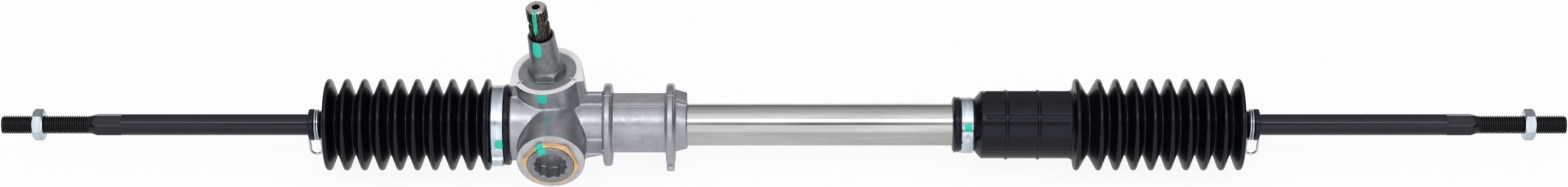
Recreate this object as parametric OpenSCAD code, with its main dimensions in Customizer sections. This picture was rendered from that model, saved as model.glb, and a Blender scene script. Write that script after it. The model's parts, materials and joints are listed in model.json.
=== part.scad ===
// Manual rack-and-pinion steering gear with inner tie rods, in millimetres.
// X runs along the rack, +Z up the pinion tower and -Y towards the yoke plug.
// The origin is on the rack axis, midway between the two ribs of the clamp seat.

/* [Travel] */
// Rack travel from straight ahead to either lock
rack_travel = 68; // [60:1:72]
// Gap left at full lock between a rack-end washer and its stop
stop_gap = 3; // [2:0.5:6]

/* [Rack] */
// Diameter of the rack bar
rack_d = 22; // [21:0.25:22.5]
// Length of the rack bar between its end faces
rack_l = 501.4; // [480:0.2:520]
// Height of the rack tooth tips above the rack axis
rack_tip_y = 8.2; // [7.9:0.1:8.6]

/* [Teeth] */
// Normal module of pinion and rack
tooth_module = 1.9; // [1.8:0.05:2]
// Number of pinion teeth
pinion_teeth = 6; // [6:1:7]
// Normal pressure angle
pressure_angle = 20; // [20:0.5:22.5]
// Helix angle of the pinion
helix_angle = 20; // [16:1:22]
// Profile shift of the pinion, in modules
profile_shift = 0.5; // [0.5:0.02:0.6]
// Height of the pinion teeth above the shifted pitch line, in modules
pinion_addendum = 0.73; // [0.66:0.01:0.75]
// Height of the rack teeth above their pitch line, in modules
rack_addendum = 0.9; // [0.84:0.01:0.92]
// Gap between the tip of a tooth and the root it runs in
tooth_clearance = 0.45; // [0.35:0.05:0.6]
// Gap between the flanks in mesh, measured square to the teeth
backlash = 0.12; // [0.08:0.01:0.18]

/* [Pinion] */
// Distance of the pinion from the middle of the clamp seat
pinion_offset = 56.8; // [56:0.2:60]
// Lean of the pinion away from square to the rack
pinion_tilt = 5; // [3:0.5:6]
// Top of the pinion above the rack axis, along the pinion
pinion_top = 90.8; // [86:0.2:100]
// Length of the pinion teeth above the rack axis
teeth_above = 13; // [12:0.5:13.5]
// Length of the pinion teeth below the rack axis
teeth_below = 15; // [13:0.5:16]
// Diameter of the lower journal
journal_d = 9; // [8:0.25:9.25]
// Length of the lower journal
journal_l = 11; // [9:0.5:14]
// Diameter of the shoulder under the ball bearing
shoulder_d = 19.6; // [19:0.2:20.6]
// Diameter of the pinion where the seal runs
seal_seat_d = 15; // [14:0.25:16]

/* [Spline] */
// Outer diameter of the spline
spline_d = 13.8; // [13:0.1:14.4]
// Depth of the spline grooves
spline_depth = 0.9; // [0.6:0.05:1.1]
// Number of spline teeth
spline_teeth = 20; // [16:1:28]
// Length of the whole spline, waist included
spline_l = 38; // [32:1:42]
// Distance of the waist from the top of the pinion
waist_below = 10.3; // [9:0.1:12]
// Length of the waist that the pinch bolt crosses
waist_l = 4; // [3:0.25:6]
// Diameter at the waist
waist_d = 11.2; // [10:0.1:12]
// Diameter of the centre hole
centre_d = 5.4; // [4:0.1:6.5]
// Depth of the centre hole
centre_depth = 6; // [3:0.5:8]

/* [Bearing] */
// Bore of the ball bearing
bearing_bore = 17; // [16.8:0.1:17.4]
// Outer diameter of the ball bearing
bearing_d = 35; // [34:0.25:35.5]
// Width of the ball bearing
bearing_w = 10; // [10:0.25:11]
// Height of the bearing seat above the rack axis
bearing_seat = 15; // [14.8:0.1:15.4]
// Diameter of the balls
ball_d = 6; // [5:0.1:6.4]
// Number of balls
balls = 9; // [7:1:10]
// Thickness of the circlip above the bearing
circlip_t = 1.2; // [1:0.1:1.5]

/* [Pinion cover] */
// Diameter of the cover disc and its thread
cover_d = 38.2; // [37:0.2:39]
// Size across the flats of the cover hexagon
cover_hex = 22; // [21:0.5:23]
// Height of the cover hexagon
cover_hex_h = 5; // [4:0.5:7]
// Outer diameter of the collar at its foot
collar_foot_d = 20.3; // [19.8:0.1:20.8]
// Outer diameter of the collar at its rim
collar_rim_d = 17.5; // [17.2:0.1:18.5]
// Height of the collar rim above the rack axis, along the pinion
collar_top = 66.6; // [60:0.2:72]
// Wall of the collar
collar_wall = 1.2; // [0.9:0.1:1.3]
// Outer diameter of the pinion seal
seal_d = 26; // [24:0.5:27]
// Thickness of the pinion seal
seal_t = 5; // [4:0.5:6]

/* [Housing] */
// Distance of the left shoulder from the middle of the clamp seat
shoulder_offset = 84.5; // [82:0.5:88]
// Outer diameter of the left body
body_d = 47.2; // [46:0.2:49]
// Outer diameter of the right body and clamp seat
seat_d = 34.4; // [33.6:0.2:36]
// Diameter of the bore round the rack
rack_bore = 24.6; // [24:0.2:25.4]
// Outer diameter of the spigot under the left boot
spigot_d = 45; // [44:0.5:46]
// Length of the spigot under the left boot
spigot_l = 13.5; // [12:0.5:16]
// Diameter of the recess that the left socket enters
stop_bore = 37; // [35.5:0.5:38]
// Outer diameter of the pinion tower
tower_d = 46.7; // [45.5:0.1:48]
// Height of the tower's machined face above the rack axis
tower_top = 35.6; // [34:0.2:38]
// Width over the two square corners of the tower
tower_corner_w = 49; // [48.2:0.2:51]
// Distance of the corners' front face from the pinion axis
tower_corner_y = 12.7; // [11:0.1:14]
// Outer diameter of the housing round the lower bush
foot_d = 23; // [21:0.5:24]
// Outer diameter of the yoke boss
boss_d = 44.5; // [43:0.5:46]
// Distance of the yoke boss face from the rack axis
boss_y = 35.5; // [34:0.5:38]

/* [Clamp seat] */
// Width of the clamp seat between its ribs
seat_w = 35.6; // [32:0.2:40]
// Thickness of each rib
rib_t = 5.6; // [4.5:0.1:6]
// Diameter of the ribs
rib_d = 54.6; // [52:0.2:57]
// Height of the flat on top of the clamp seat
flat_z = 17.8; // [17.5:0.1:18.6]
// Depth of the squared spine behind the clamp seat
spine_y = 11.8; // [10.5:0.1:12.5]
// Height of the webs beside the ribs
web_z = 25.7; // [23:0.1:26]
// Thickness of the webs beside the ribs
web_t = 3.6; // [3:0.2:5]
// Length of the end block past the right rib
end_l = 8.2; // [6:0.2:12]
// Outer diameter of the end block where the tube leaves it
end_d = 31.4; // [30.4:0.2:33]

/* [Rack tube] */
// Outer diameter of the rack tube
tube_d = 27.5; // [27.3:0.1:28.5]
// Wall of the rack tube
tube_wall = 1.5; // [1.2:0.1:1.7]
// Length of the tube held in the housing
tube_grip = 34; // [30:1:36]
// Length of the bush at the end of the tube
bush_l = 22; // [16:1:30]

/* [Support yoke] */
// Diameter of the support yoke
yoke_d = 27.8; // [27.2:0.1:28.4]
// Distance of the yoke's front edges from the rack axis
yoke_front = 4.5; // [3.5:0.25:6]
// Distance of the yoke's back face from the rack axis
yoke_back = 24; // [23:0.25:25]
// Thickness of the sliding liner in the yoke
liner_t = 1; // [0.8:0.1:1.3]
// Diameter of the spring pocket in the yoke
pocket_d = 15; // [14:0.5:16]
// Depth of the spring pocket in the yoke
pocket_depth = 8; // [7:0.5:9]
// Wire of the yoke spring
spring_wire = 2.2; // [1.8:0.1:2.4]
// Turns of the yoke spring
spring_turns = 4; // [3.5:0.5:4]

/* [Yoke plug] */
// Outer diameter of the yoke plug
plug_d = 30.5; // [29.5:0.1:31.5]
// Distance of the plug's outer face from the rack axis
plug_y = 40; // [39.6:0.1:41.5]
// Length of the yoke plug
plug_l = 13.6; // [13:0.2:14.4]
// Size over the points of the twelve-point socket
socket_d = 22.8; // [21:0.2:23.6]
// Depth of the twelve-point socket
socket_depth = 9.6; // [8:0.2:10]
// Size across the flats of the lock nut
yoke_nut_af = 32.6; // [32.2:0.2:36]
// Thickness of the lock nut
yoke_nut_t = 3.6; // [3:0.2:4]

/* [Ball joints] */
// Diameter of the inner tie-rod ball
ball_stud_d = 25; // [24:0.25:25.5]
// Outer diameter of the ball socket
ball_socket_d = 32; // [31.6:0.2:33]
// Distance of the ball centre from the back of its socket
ball_depth = 23.3; // [21.5:0.1:25]
// Wall of the plastic ball seat
ball_seat_wall = 1.3; // [1:0.1:1.5]
// Half angle of the opening in the ball seat
seat_opening = 58; // [55:1:60]
// Half angle of the socket mouth
mouth_opening = 54; // [52:1:56]
// Diameter of the stud that screws into the rack
stud_d = 14; // [12:0.5:16]
// Length of the stud that screws into the rack
stud_l = 14; // [10:0.5:14]
// Thickness of the tab washer
tab_t = 1.2; // [0.8:0.1:2]

/* [Tie rods] */
// Length from the ball centre to the tip
tie_rod_l = 240; // [220:1:260]
// Diameter of the neck behind the ball
neck_d = 11.6; // [10.5:0.2:12]
// Diameter of the rod
rod_d = 13.9; // [13:0.1:14.4]
// Size across the wrench flats
flats_af = 13.2; // [12.6:0.1:14]
// Diameter over the rounded corners of the wrench flats
flats_d = 14.6; // [14.2:0.1:15]
// Length of the wrench flats
flats_l = 16; // [12:0.5:20]
// Nominal diameter of the thread
thread_d = 12; // [11:0.5:12.5]
// Length of the thread
thread_l = 57.6; // [50:0.2:65]
// Length of the taper from thread to flats
thread_taper_l = 5.4; // [4:0.2:8]
// Distance of the lock nut from the tip
nut_from_tip = 21; // [18:0.5:40]
// Size across the flats of the tie-rod lock nut
nut_af = 18; // [17:0.5:20]
// Thickness of the tie-rod lock nut
nut_t = 7; // [6:0.25:9]

/* [Boots] */
// Number of boot crests
crests = 10; // [8:1:11]
// Diameter over the boot crests
crest_d = 60.4; // [58:0.2:63]
// Outer diameter in the boot valleys
valley_d = 40.8; // [40:0.2:43]
// Wall of the boots
boot_wall = 1.5; // [1.2:0.1:1.6]
// Distance of the boot's small end from the ball centre
boot_reach = 37.8; // [34:0.2:42]
// Length of the boot's small cuff
small_cuff_l = 8; // [7:0.25:10]
// Outer diameter of the small cuff under its clip
small_cuff_d = 17.7; // [17.2:0.1:18.4]
// Diameter of the lip at the small end
small_lip_d = 20.8; // [20:0.1:22]
// Distance of the last crest from the small end
small_end_gap = 13.5; // [12.5:0.5:16]
// Outer diameter of the left boot under its band
left_cuff_d = 50.4; // [49:0.2:52]
// Outer diameter of the beads beside the left band
left_bead_d = 53.3; // [52.6:0.1:55]
// Outer diameter of the right boot under its band
right_cuff_d = 34.4; // [33:0.2:35]
// Outer diameter of the bead at the right boot's end
right_bead_d = 36.4; // [36:0.2:38]
// Length of the right boot from its end to its first crest
right_sleeve_l = 81.4; // [76:0.2:90]
// Outer diameter of the right boot's sleeve
sleeve_d = 44.3; // [43.5:0.1:46]
// Height of the ribs on the right boot's sleeve
sleeve_rib_h = 0.9; // [0.5:0.1:1.4]
// Width of the ribs on the right boot's sleeve
sleeve_rib_w = 2.2; // [1.5:0.1:3]
// Lengthwise ribs on the right boot's sleeve
sleeve_ribs = 8; // [4:1:12]

/* [Bands and clips] */
// Width of the ear bands
band_w = 7.7; // [6:0.1:9]
// Thickness of the ear bands
band_t = 0.8; // [0.6:0.1:1]
// Width of the ear that closes a band
ear_w = 9; // [7:0.5:11]
// Height of the ear that closes a band
ear_h = 3; // [2:0.25:4]
// Wire of the small clips
clip_wire = 1.45; // [1.2:0.05:1.6]
// Reach of the clip's tail loop
clip_tail = 9; // [6:0.5:12]

/* [Clearances] */
// Radial gap of a part that turns or slides on another
run_gap = 0.08; // [0.06:0.01:0.1]
// Radial gap of a part that is pressed or screwed into another
fit_gap = 0.03; // [0.02:0.01:0.05]
// Gap between faces that lie on each other
face_gap = 0.05; // [0.03:0.01:0.1]

/* [Hidden] */
$fn = 96;

die_cast = [0.66, 0.67, 0.69];
bright_steel = [0.74, 0.74, 0.7];
zinc = [0.78, 0.82, 0.86];
dark_steel = [0.22, 0.21, 0.2];
black_steel = [0.08, 0.08, 0.09];
black_rubber = [0.1, 0.1, 0.11];
yellow_zinc = [0.88, 0.7, 0.42];
white_plastic = [0.88, 0.87, 0.82];
bronze = [0.62, 0.5, 0.32];

// Places along the rack, worked out from the locks inwards
left_stop_x = -shoulder_offset;
rack_left_x = left_stop_x - stop_gap - rack_travel;
rack_right_x = rack_left_x + rack_l;
tube_right_x = rack_right_x - rack_travel - stop_gap;
left_ball_x = rack_left_x - tab_t - ball_depth;
right_ball_x = rack_right_x + tab_t + ball_depth;
left_rib_x = -seat_w / 2 - rib_t;
right_rib_x = seat_w / 2;
end_x = right_rib_x + rib_t + end_l;
tube_left_x = end_x - tube_grip;

// Gear geometry: the transverse values lie square to the pinion axis
transverse_module = tooth_module / cos(helix_angle);
transverse_angle = atan(tan(pressure_angle) / cos(helix_angle));
pitch_r = pinion_teeth * transverse_module / 2;
shift = profile_shift * tooth_module;
pinion_tip_r = pitch_r + shift + pinion_addendum * tooth_module;
rack_slant = helix_angle - pinion_tilt;
rack_pitch_y = rack_tip_y - rack_addendum * tooth_module;
pinion_y = rack_pitch_y + pitch_r + shift;
rack_root_y = pinion_y - pinion_tip_r - tooth_clearance;
helix_lead = PI * 2 * pitch_r / tan(helix_angle);
cavity_r = pinion_tip_r + 1.4;

// Heights along the pinion axis
journal_bottom = -teeth_below - journal_l;
bearing_top = bearing_seat + bearing_w;
cover_bottom = bearing_top + face_gap;
hex_top = tower_top + cover_hex_h;
seal_bottom = cover_bottom + 3;
bearing_pitch_r = (bearing_bore + bearing_d) / 4;
lower_bush_wall = 2.1;

module along_x(x = 0) translate([x, 0, 0]) rotate([0, 90, 0]) children();
module at_pinion() translate([-pinion_offset, pinion_y, 0]) rotate([0, -pinion_tilt, 0]) children();
module at_yoke() translate([-pinion_offset, 0, 0]) rotate([90, 0, 0]) children();
module on_left() translate([left_ball_x, 0, 0]) mirror([1, 0, 0]) children();
module on_right() translate([right_ball_x, 0, 0]) children();

// A ring standing on the XY plane
module ring(outer_r, inner_r, height, z = 0)
    translate([0, 0, z])
        difference() {
            cylinder(r = outer_r, h = height);
            translate([0, 0, -1]) cylinder(r = inner_r, h = height + 2);
        }

// A round ring of rubber or wire
module round_ring(centre_r, wire_r, z = 0)
    translate([0, 0, z]) rotate_extrude() translate([centre_r, 0]) circle(r = wire_r, $fn = 24);

// A hexagon nut with turned corners, standing on the XY plane
module hex_nut(flats, bore_r, height) {
    corner_r = flats / sqrt(3);
    chamfer = (corner_r - flats / 2) * tan(30);
    difference() {
        intersection() {
            cylinder(r = corner_r, h = height, $fn = 6);
            rotate_extrude() polygon([
                [0, 0], [flats / 2, 0], [corner_r + 0.05, chamfer],
                [corner_r + 0.05, height - chamfer], [flats / 2, height], [0, height]]);
        }
        translate([0, 0, -1]) cylinder(r = bore_r, h = height + 2);
    }
}

// Housing: one die casting
module tower_outline() {
    circle(d = tower_d);
    polygon([
        [-tower_corner_w / 2, -tower_corner_y], [tower_corner_w / 2, -tower_corner_y],
        [tower_d / 2, 0], [-tower_d / 2, 0]]);
}

module tower() {
    neck_r = cavity_r + 4.5;
    flare_z = bearing_seat - 4;
    translate([0, 0, flare_z]) linear_extrude(tower_top - flare_z) tower_outline();
    rotate_extrude() polygon([
        [0, journal_bottom - 4], [foot_d / 2 - 2, journal_bottom - 4], [foot_d / 2, journal_bottom - 2],
        [foot_d / 2, -teeth_below - 4], [neck_r, -teeth_below + 3], [neck_r, 2],
        [tower_d / 2, flare_z + 0.01], [0, flare_z + 0.01]]);
}

module yoke_boss() {
    edge = 1.2;
    at_yoke() rotate_extrude() polygon([
        [0, 0], [boss_d / 2, 0], [boss_d / 2, boss_y - edge], [boss_d / 2 - edge, boss_y], [0, boss_y]]);
}

module rib(x) {
    rim = 1.9;
    along_x(x) rotate_extrude() {
        square([rib_d / 2 - rim, rib_t]);
        translate([rib_d / 2 - rim, rim]) circle(r = rim, $fn = 32);
        translate([rib_d / 2 - rim, rib_t - rim]) circle(r = rim, $fn = 32);
        translate([rib_d / 2 - rim - 1, rim]) square([rim + 1, rib_t - 2 * rim]);
    }
}

// The web and end block stand behind the plane in which the casting parts
module casting_webs() {
    parting_y = 1;
    lean = 3.5;
    rear_y = 9.6;
    block_z = 22.8;
    translate([-pinion_offset + 12, parting_y, 0])
        cube([left_rib_x + 1 + pinion_offset - 12, web_t, web_z]);
    translate([0, parting_y + rear_y, 0]) rotate([90, 0, 0]) linear_extrude(rear_y) polygon([
        [right_rib_x + rib_t - 1, 0], [end_x, 0], [end_x, block_z - lean],
        [right_rib_x + rib_t - 1, block_z]]);
    spine_reach = 14;
    translate([left_rib_x - spine_reach, parting_y, -flat_z])
        cube([seat_w + rib_t + spine_reach + 1, spine_y - parting_y, 2 * flat_z]);
    // gusset from the yoke boss to the left rib
    gusset_y = boss_y - 5;
    gusset_x = boss_d / 2 - pinion_offset - 4;
    translate([0, -seat_d / 2 + 3, 0]) rotate([90, 0, 0]) linear_extrude(gusset_y - seat_d / 2 + 3)
        polygon([[gusset_x, 2], [gusset_x, -3.4], [left_rib_x + 1, 0.8], [left_rib_x + 1, 2]]);
    // squared lower front of the clamp seat
    translate([left_rib_x + 1, -seat_d / 2 + 0.6, -10]) cube([seat_w + rib_t + 0.5, seat_d / 2, 9]);
}

module housing_lug() {
    lug_reach = rib_d / 2 + 3.4;
    lug_w = 6;
    lug_angle = 48;
    translate([right_rib_x + 0.3, 0, 0]) rotate([lug_angle, 0, 0])
        translate([0, -lug_reach, -lug_w / 2]) cube([rib_t - 0.6, lug_reach - seat_d / 2 + 2, lug_w]);
}

module housing_outside() {
    along_x(left_stop_x) cylinder(d = body_d, h = shoulder_offset - pinion_offset);
    along_x(left_stop_x - spigot_l) cylinder(d = spigot_d, h = spigot_l + 1);
    along_x(-pinion_offset) cylinder(d = seat_d, h = pinion_offset + right_rib_x + rib_t);
    along_x(right_rib_x + rib_t - 0.5) cylinder(d1 = seat_d + 1.6, d2 = end_d, h = end_l + 0.5);
    yoke_boss();
    at_pinion() tower();
    rib(left_rib_x);
    rib(right_rib_x);
    casting_webs();
    housing_lug();
    // ejector-pin mark on the front of the clamp seat
    translate([-0.8, 0, -0.8]) rotate([90, 0, 0]) cylinder(d = 7.6, h = seat_d / 2 + 0.25);
}

module housing_inside() {
    along_x(left_stop_x - spigot_l - 1) cylinder(d = stop_bore, h = spigot_l + 1);
    along_x(left_stop_x - 1) cylinder(d = rack_bore, h = tube_left_x - left_stop_x + 2);
    along_x(tube_left_x) cylinder(r = tube_d / 2 + fit_gap, h = tube_grip + 1);
    at_pinion() {
        translate([0, 0, journal_bottom - face_gap - 0.5])
            cylinder(r = journal_d / 2 + lower_bush_wall, h = journal_l + 5);
        translate([0, 0, -teeth_below - 0.5]) cylinder(r = cavity_r, h = bearing_seat + teeth_below + 1);
        // clear of the pinion's shoulder, so the bearing seat carries the outer race alone
        translate([0, 0, teeth_above - 0.5])
            cylinder(r = bearing_pitch_r, h = bearing_seat - teeth_above + 1);
        translate([0, 0, bearing_seat]) cylinder(r = bearing_d / 2 + fit_gap, h = bearing_w + 1);
        translate([0, 0, bearing_top]) cylinder(r = cover_d / 2 + fit_gap, h = tower_top - bearing_top + 1);
        // stake groove round the rim of the cover
        translate([0, 0, tower_top - 0.6]) cylinder(r = cover_d / 2 + 0.55, h = 2);
    }
    at_yoke() {
        cylinder(r = yoke_d / 2 + run_gap, h = boss_y);
        translate([0, 0, yoke_back + 1]) cylinder(r = plug_d / 2 + fit_gap, h = boss_y - yoke_back);
    }
}

module housing() color(die_cast) difference() {
    housing_outside();
    housing_inside();
}

// Rack tube and the bush that carries the far end of the rack
module rack_tube() color(bright_steel)
    along_x(tube_left_x) ring(tube_d / 2, tube_d / 2 - tube_wall, tube_right_x - tube_left_x);

module tube_end_bush() color(white_plastic) {
    bush_r = tube_d / 2 - tube_wall - fit_gap;
    along_x(tube_right_x - bush_l) difference() {
        union() {
            cylinder(r = bush_r, h = bush_l);
            translate([0, 0, bush_l + face_gap]) cylinder(r = tube_d / 2 - 0.2, h = 1.4);
            cylinder(r = bush_r - 0.3, h = bush_l + 1);
        }
        translate([0, 0, -1]) cylinder(r = rack_d / 2 + run_gap, h = bush_l + 4);
    }
}

// Rack bar: the teeth are cut square to their slant, so each gap has the normal profile
normal_pitch = PI * tooth_module;
contact_half = sqrt(pinion_tip_r ^ 2 - (pinion_y - rack_tip_y) ^ 2) + rack_d / 2 * tan(rack_slant);
gap_side = ceil((rack_travel + contact_half) * cos(rack_slant) / normal_pitch - 0.8);

function gap_half(y) = normal_pitch / 4 + backlash / 2 + (y - rack_pitch_y) * tan(pressure_angle);

function rack_gap(k) = [
    [k * normal_pitch - gap_half(rack_tip_y), rack_tip_y],
    [k * normal_pitch - gap_half(rack_root_y), rack_root_y],
    [k * normal_pitch + gap_half(rack_root_y), rack_root_y],
    [k * normal_pitch + gap_half(rack_tip_y), rack_tip_y]];

module rack_cutter() {
    reach = (gap_side + 0.8) * normal_pitch;
    gaps = [for (k = [-gap_side : gap_side], point = rack_gap(k)) point];
    cut_l = 2 * (reach * tan(rack_slant) + rack_d);
    translate([-pinion_offset, 0, 0]) rotate([0, rack_slant, 0]) linear_extrude(cut_l, center = true)
        polygon(concat([[-reach, rack_d], [-reach, rack_tip_y]], gaps,
                       [[reach, rack_tip_y], [reach, rack_d]]));
}

module rack_bar() color(bright_steel) {
    thread_depth = stud_l + 3;
    difference() {
        along_x(rack_left_x) rotate_extrude() polygon([
            [0, 0], [rack_d / 2 - 1, 0], [rack_d / 2, 1], [rack_d / 2, rack_l - 1],
            [rack_d / 2 - 1, rack_l], [0, rack_l]]);
        rack_cutter();
        along_x(rack_left_x - 1) cylinder(r = stud_d / 2 + fit_gap, h = thread_depth + 1);
        along_x(rack_right_x - thread_depth) cylinder(r = stud_d / 2 + fit_gap, h = thread_depth + 1);
    }
}

// Pinion: its teeth are generated by rolling a rack tooth round the blank, as a hob cuts them
roll_steps = 6;
roll_angle = 9.5;
slices = 16;

function cutter_half(height) =
    PI * transverse_module / 4 + backlash / 4 - height * tan(transverse_angle);

module cutter_tooth() {
    tip = rack_addendum * tooth_module + tooth_clearance;
    back = pinion_addendum * tooth_module + 0.6;
    polygon([[-cutter_half(-back), -back], [-cutter_half(tip), tip], [cutter_half(tip), tip],
             [cutter_half(-back), -back]]);
}

module pinion_profile() difference() {
    circle(r = pinion_tip_r, $fn = 36);
    for (tooth = [1 : pinion_teeth], step = [-roll_steps : roll_steps])
        rotate((tooth - 0.5) * 360 / pinion_teeth - step * roll_angle)
            translate([pitch_r * step * roll_angle * PI / 180, -pitch_r - shift]) cutter_tooth();
}

module helical_teeth() {
    length = teeth_below + teeth_above;
    turn = 360 * length / helix_lead;
    translate([0, 0, -teeth_below]) rotate(-turn * teeth_below / length)
        linear_extrude(length, twist = -turn, slices = slices) pinion_profile();
}

module spline_outline() {
    root = spline_d / 2 - spline_depth;
    tooth = 360 / spline_teeth;
    one_tooth = [[-0.3, root], [-0.16, spline_d / 2], [0.16, spline_d / 2], [0.3, root]];
    polygon([for (i = [0 : spline_teeth - 1], p = one_tooth)
        p[1] * [cos((i + p[0]) * tooth), sin((i + p[0]) * tooth)]]);
}

// The turned blank of the spline, with chamfered ends and the waist for the pinch bolt
module spline_blank() {
    bottom = pinion_top - spline_l;
    waist_z = pinion_top - waist_below;
    spline_r = spline_d / 2;
    rotate_extrude() polygon([
        [0, bottom], [spline_r + 0.1, bottom], [spline_r + 0.1, waist_z - waist_l - 0.8],
        [waist_d / 2, waist_z - waist_l], [waist_d / 2, waist_z], [spline_r + 0.1, waist_z + 0.8],
        [spline_r + 0.1, pinion_top - 1.3], [spline_r - 1.2, pinion_top], [0, pinion_top]]);
}

module pinion() color(dark_steel) {
    seal_top = seal_bottom + seal_t + 2;
    spline_bottom = pinion_top - spline_l;
    core_r = spline_d / 2 - spline_depth;
    at_pinion() {
        helical_teeth();
        rotate_extrude() polygon([
            [0, journal_bottom], [journal_d / 2 - 0.6, journal_bottom],
            [journal_d / 2, journal_bottom + 0.6], [journal_d / 2, 1 - teeth_below], [0, 1 - teeth_below]]);
        difference() {
            union() {
                rotate_extrude() polygon([
                    [0, teeth_above - 1], [journal_d / 2, teeth_above - 1], [journal_d / 2, teeth_above],
                    [shoulder_d / 2, teeth_above], [shoulder_d / 2, bearing_seat - face_gap],
                    [bearing_bore / 2 - fit_gap, bearing_seat - face_gap],
                    [bearing_bore / 2 - fit_gap, bearing_top + circlip_t + 0.4],
                    [seal_seat_d / 2, bearing_top + circlip_t + 1], [seal_seat_d / 2, seal_top],
                    [core_r, seal_top + 2], [core_r, spline_bottom + 1], [0, spline_bottom + 1]]);
                intersection() {
                    translate([0, 0, spline_bottom]) linear_extrude(spline_l) spline_outline();
                    spline_blank();
                }
            }
            translate([0, 0, pinion_top - centre_depth]) cylinder(d = centre_d, h = centre_depth + 1);
            ring(bearing_bore / 2 + 1, bearing_bore / 2 - 0.8, circlip_t + 0.1, bearing_top + face_gap);
        }
    }
}

module pinion_lower_bush() color(bronze) at_pinion()
    ring(journal_d / 2 + lower_bush_wall - fit_gap, journal_d / 2 + run_gap, journal_l - 1,
         journal_bottom + 0.6);

// Ball bearing of the pinion, drawn on its seat
module at_bearing() at_pinion() translate([0, 0, bearing_seat]) children();

shoulder_reach = ball_d * 0.3;

module race_groove()
    translate([bearing_pitch_r, bearing_w / 2]) circle(r = ball_d / 2 + run_gap, $fn = 48);

module bearing_outer_race() color(bright_steel) at_bearing() rotate_extrude() difference() {
    shoulder_r = bearing_pitch_r + shoulder_reach;
    translate([shoulder_r, face_gap]) square([bearing_d / 2 - shoulder_r, bearing_w - face_gap]);
    race_groove();
}

module bearing_inner_race() color(bright_steel) at_bearing() rotate_extrude() difference() {
    shoulder_r = bearing_pitch_r - shoulder_reach;
    translate([bearing_bore / 2, 0]) square([shoulder_r - bearing_bore / 2, bearing_w]);
    race_groove();
}

module each_ball()
    for (i = [0 : balls - 1])
        rotate(i * 360 / balls) translate([bearing_pitch_r, 0, bearing_w / 2]) children();

module bearing_balls() color(zinc) at_bearing() each_ball() sphere(d = ball_d, $fn = 48);

module bearing_cage() color(bronze) {
    cage_t = 1.2;
    cage_w = ball_d + 2;
    at_bearing() difference() {
        ring(bearing_pitch_r + cage_t / 2, bearing_pitch_r - cage_t / 2, cage_w, (bearing_w - cage_w) / 2);
        each_ball() translate([-cage_t, 0, 0]) rotate([0, 90, 0])
            cylinder(r = ball_d / 2 + run_gap, h = 2 * cage_t);
    }
}

module bearing_circlip() color(dark_steel) at_pinion()
    translate([0, 0, bearing_top + face_gap + 0.05]) difference() {
        cylinder(r = bearing_bore / 2 + 1.8, h = circlip_t - 0.05);
        translate([0, 0, -1]) cylinder(r = bearing_bore / 2 - 0.8 + fit_gap, h = circlip_t + 2);
        translate([0, -2.5, -1]) cube([bearing_bore, 5, circlip_t + 2]);
    }

// Cover, seal and ring that close the tower
module pinion_cover() color(die_cast) {
    shaft_r = seal_seat_d / 2 + 0.6;
    groove_z = cover_bottom + 2;
    groove_w = 1.8;
    at_pinion() difference() {
        union() {
            rotate_extrude() polygon([
                [0, cover_bottom], [cover_d / 2, cover_bottom], [cover_d / 2, groove_z],
                [cover_d / 2 - 1.4, groove_z], [cover_d / 2 - 1.4, groove_z + groove_w],
                [cover_d / 2, groove_z + groove_w], [cover_d / 2, tower_top - 1.1],
                [cover_d / 2 - 0.6, tower_top - 0.5], [0, tower_top - 0.5]]);
            intersection() {
                translate([0, 0, tower_top - 1])
                    cylinder(r = cover_hex / sqrt(3), h = cover_hex_h + 1, $fn = 6);
                rotate_extrude() polygon([
                    [0, tower_top - 2], [cover_hex, tower_top - 2], [cover_hex, hex_top - cover_hex * 0.29],
                    [cover_hex / 2 - 0.4, hex_top], [0, hex_top]]);
            }
            translate([0, 0, hex_top - 1])
                cylinder(d1 = collar_foot_d, d2 = collar_rim_d, h = collar_top - hex_top + 1);
        }
        rotate_extrude() polygon([
            [0, cover_bottom - 1], [seal_d / 2, cover_bottom - 1], [seal_d / 2, seal_bottom + seal_t],
            [shaft_r, seal_bottom + seal_t], [shaft_r, tower_top + 1],
            [collar_foot_d / 2 - collar_wall, hex_top], [collar_rim_d / 2 - collar_wall, collar_top + 0.01],
            [0, collar_top + 0.01]]);
    }
}

module pinion_seal() color(black_rubber) {
    outer_r = seal_d / 2 - fit_gap;
    shaft_r = seal_seat_d / 2;
    seal_top = seal_bottom + seal_t - face_gap;
    at_pinion() rotate_extrude() polygon([
        [outer_r, seal_bottom], [outer_r, seal_top], [shaft_r + 1, seal_top], [shaft_r + 1, seal_top - 1],
        [shaft_r + run_gap, seal_bottom + 2], [shaft_r + 1.2, seal_bottom + 0.4],
        [shaft_r + 2, seal_bottom + 2], [outer_r - 2, seal_bottom + 2], [outer_r - 1, seal_bottom]]);
}

module cover_o_ring() color(black_rubber) at_pinion()
    round_ring(cover_d / 2 - 0.7, 0.65, cover_bottom + 2.9);

// Support yoke, pressed against the back of the rack
module support_yoke() color(die_cast) {
    liner_r = rack_d / 2 + run_gap + liner_t + fit_gap;
    difference() {
        at_yoke() rotate_extrude() polygon([
            [0, yoke_front], [yoke_d / 2, yoke_front], [yoke_d / 2, yoke_back - 1],
            [yoke_d / 2 - 1, yoke_back], [pocket_d / 2, yoke_back],
            [pocket_d / 2, yoke_back - pocket_depth], [0, yoke_back - pocket_depth]]);
        along_x(-pinion_offset - yoke_d) cylinder(r = liner_r, h = 2 * yoke_d);
    }
}

module yoke_liner() color(white_plastic) {
    inner_r = rack_d / 2 + run_gap;
    half_l = yoke_d / 2 - 3;
    edge_y = 6;
    intersection() {
        along_x(-pinion_offset - half_l) ring(inner_r + liner_t, inner_r, 2 * half_l);
        translate([-pinion_offset - half_l - 1, -2 * rack_d, -rack_d])
            cube([2 * half_l + 2, 2 * rack_d - edge_y, 2 * rack_d]);
    }
}

// A coil spring as a tube swept round a helix, with its end turns closed
spring_sides = 8;
spring_rings_per_turn = 14;
spring_low = yoke_back - pocket_depth + face_gap;
spring_high = plug_y - plug_l - face_gap;
spring_r = pocket_d / 2 - spring_wire / 2 - 0.4;

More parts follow.
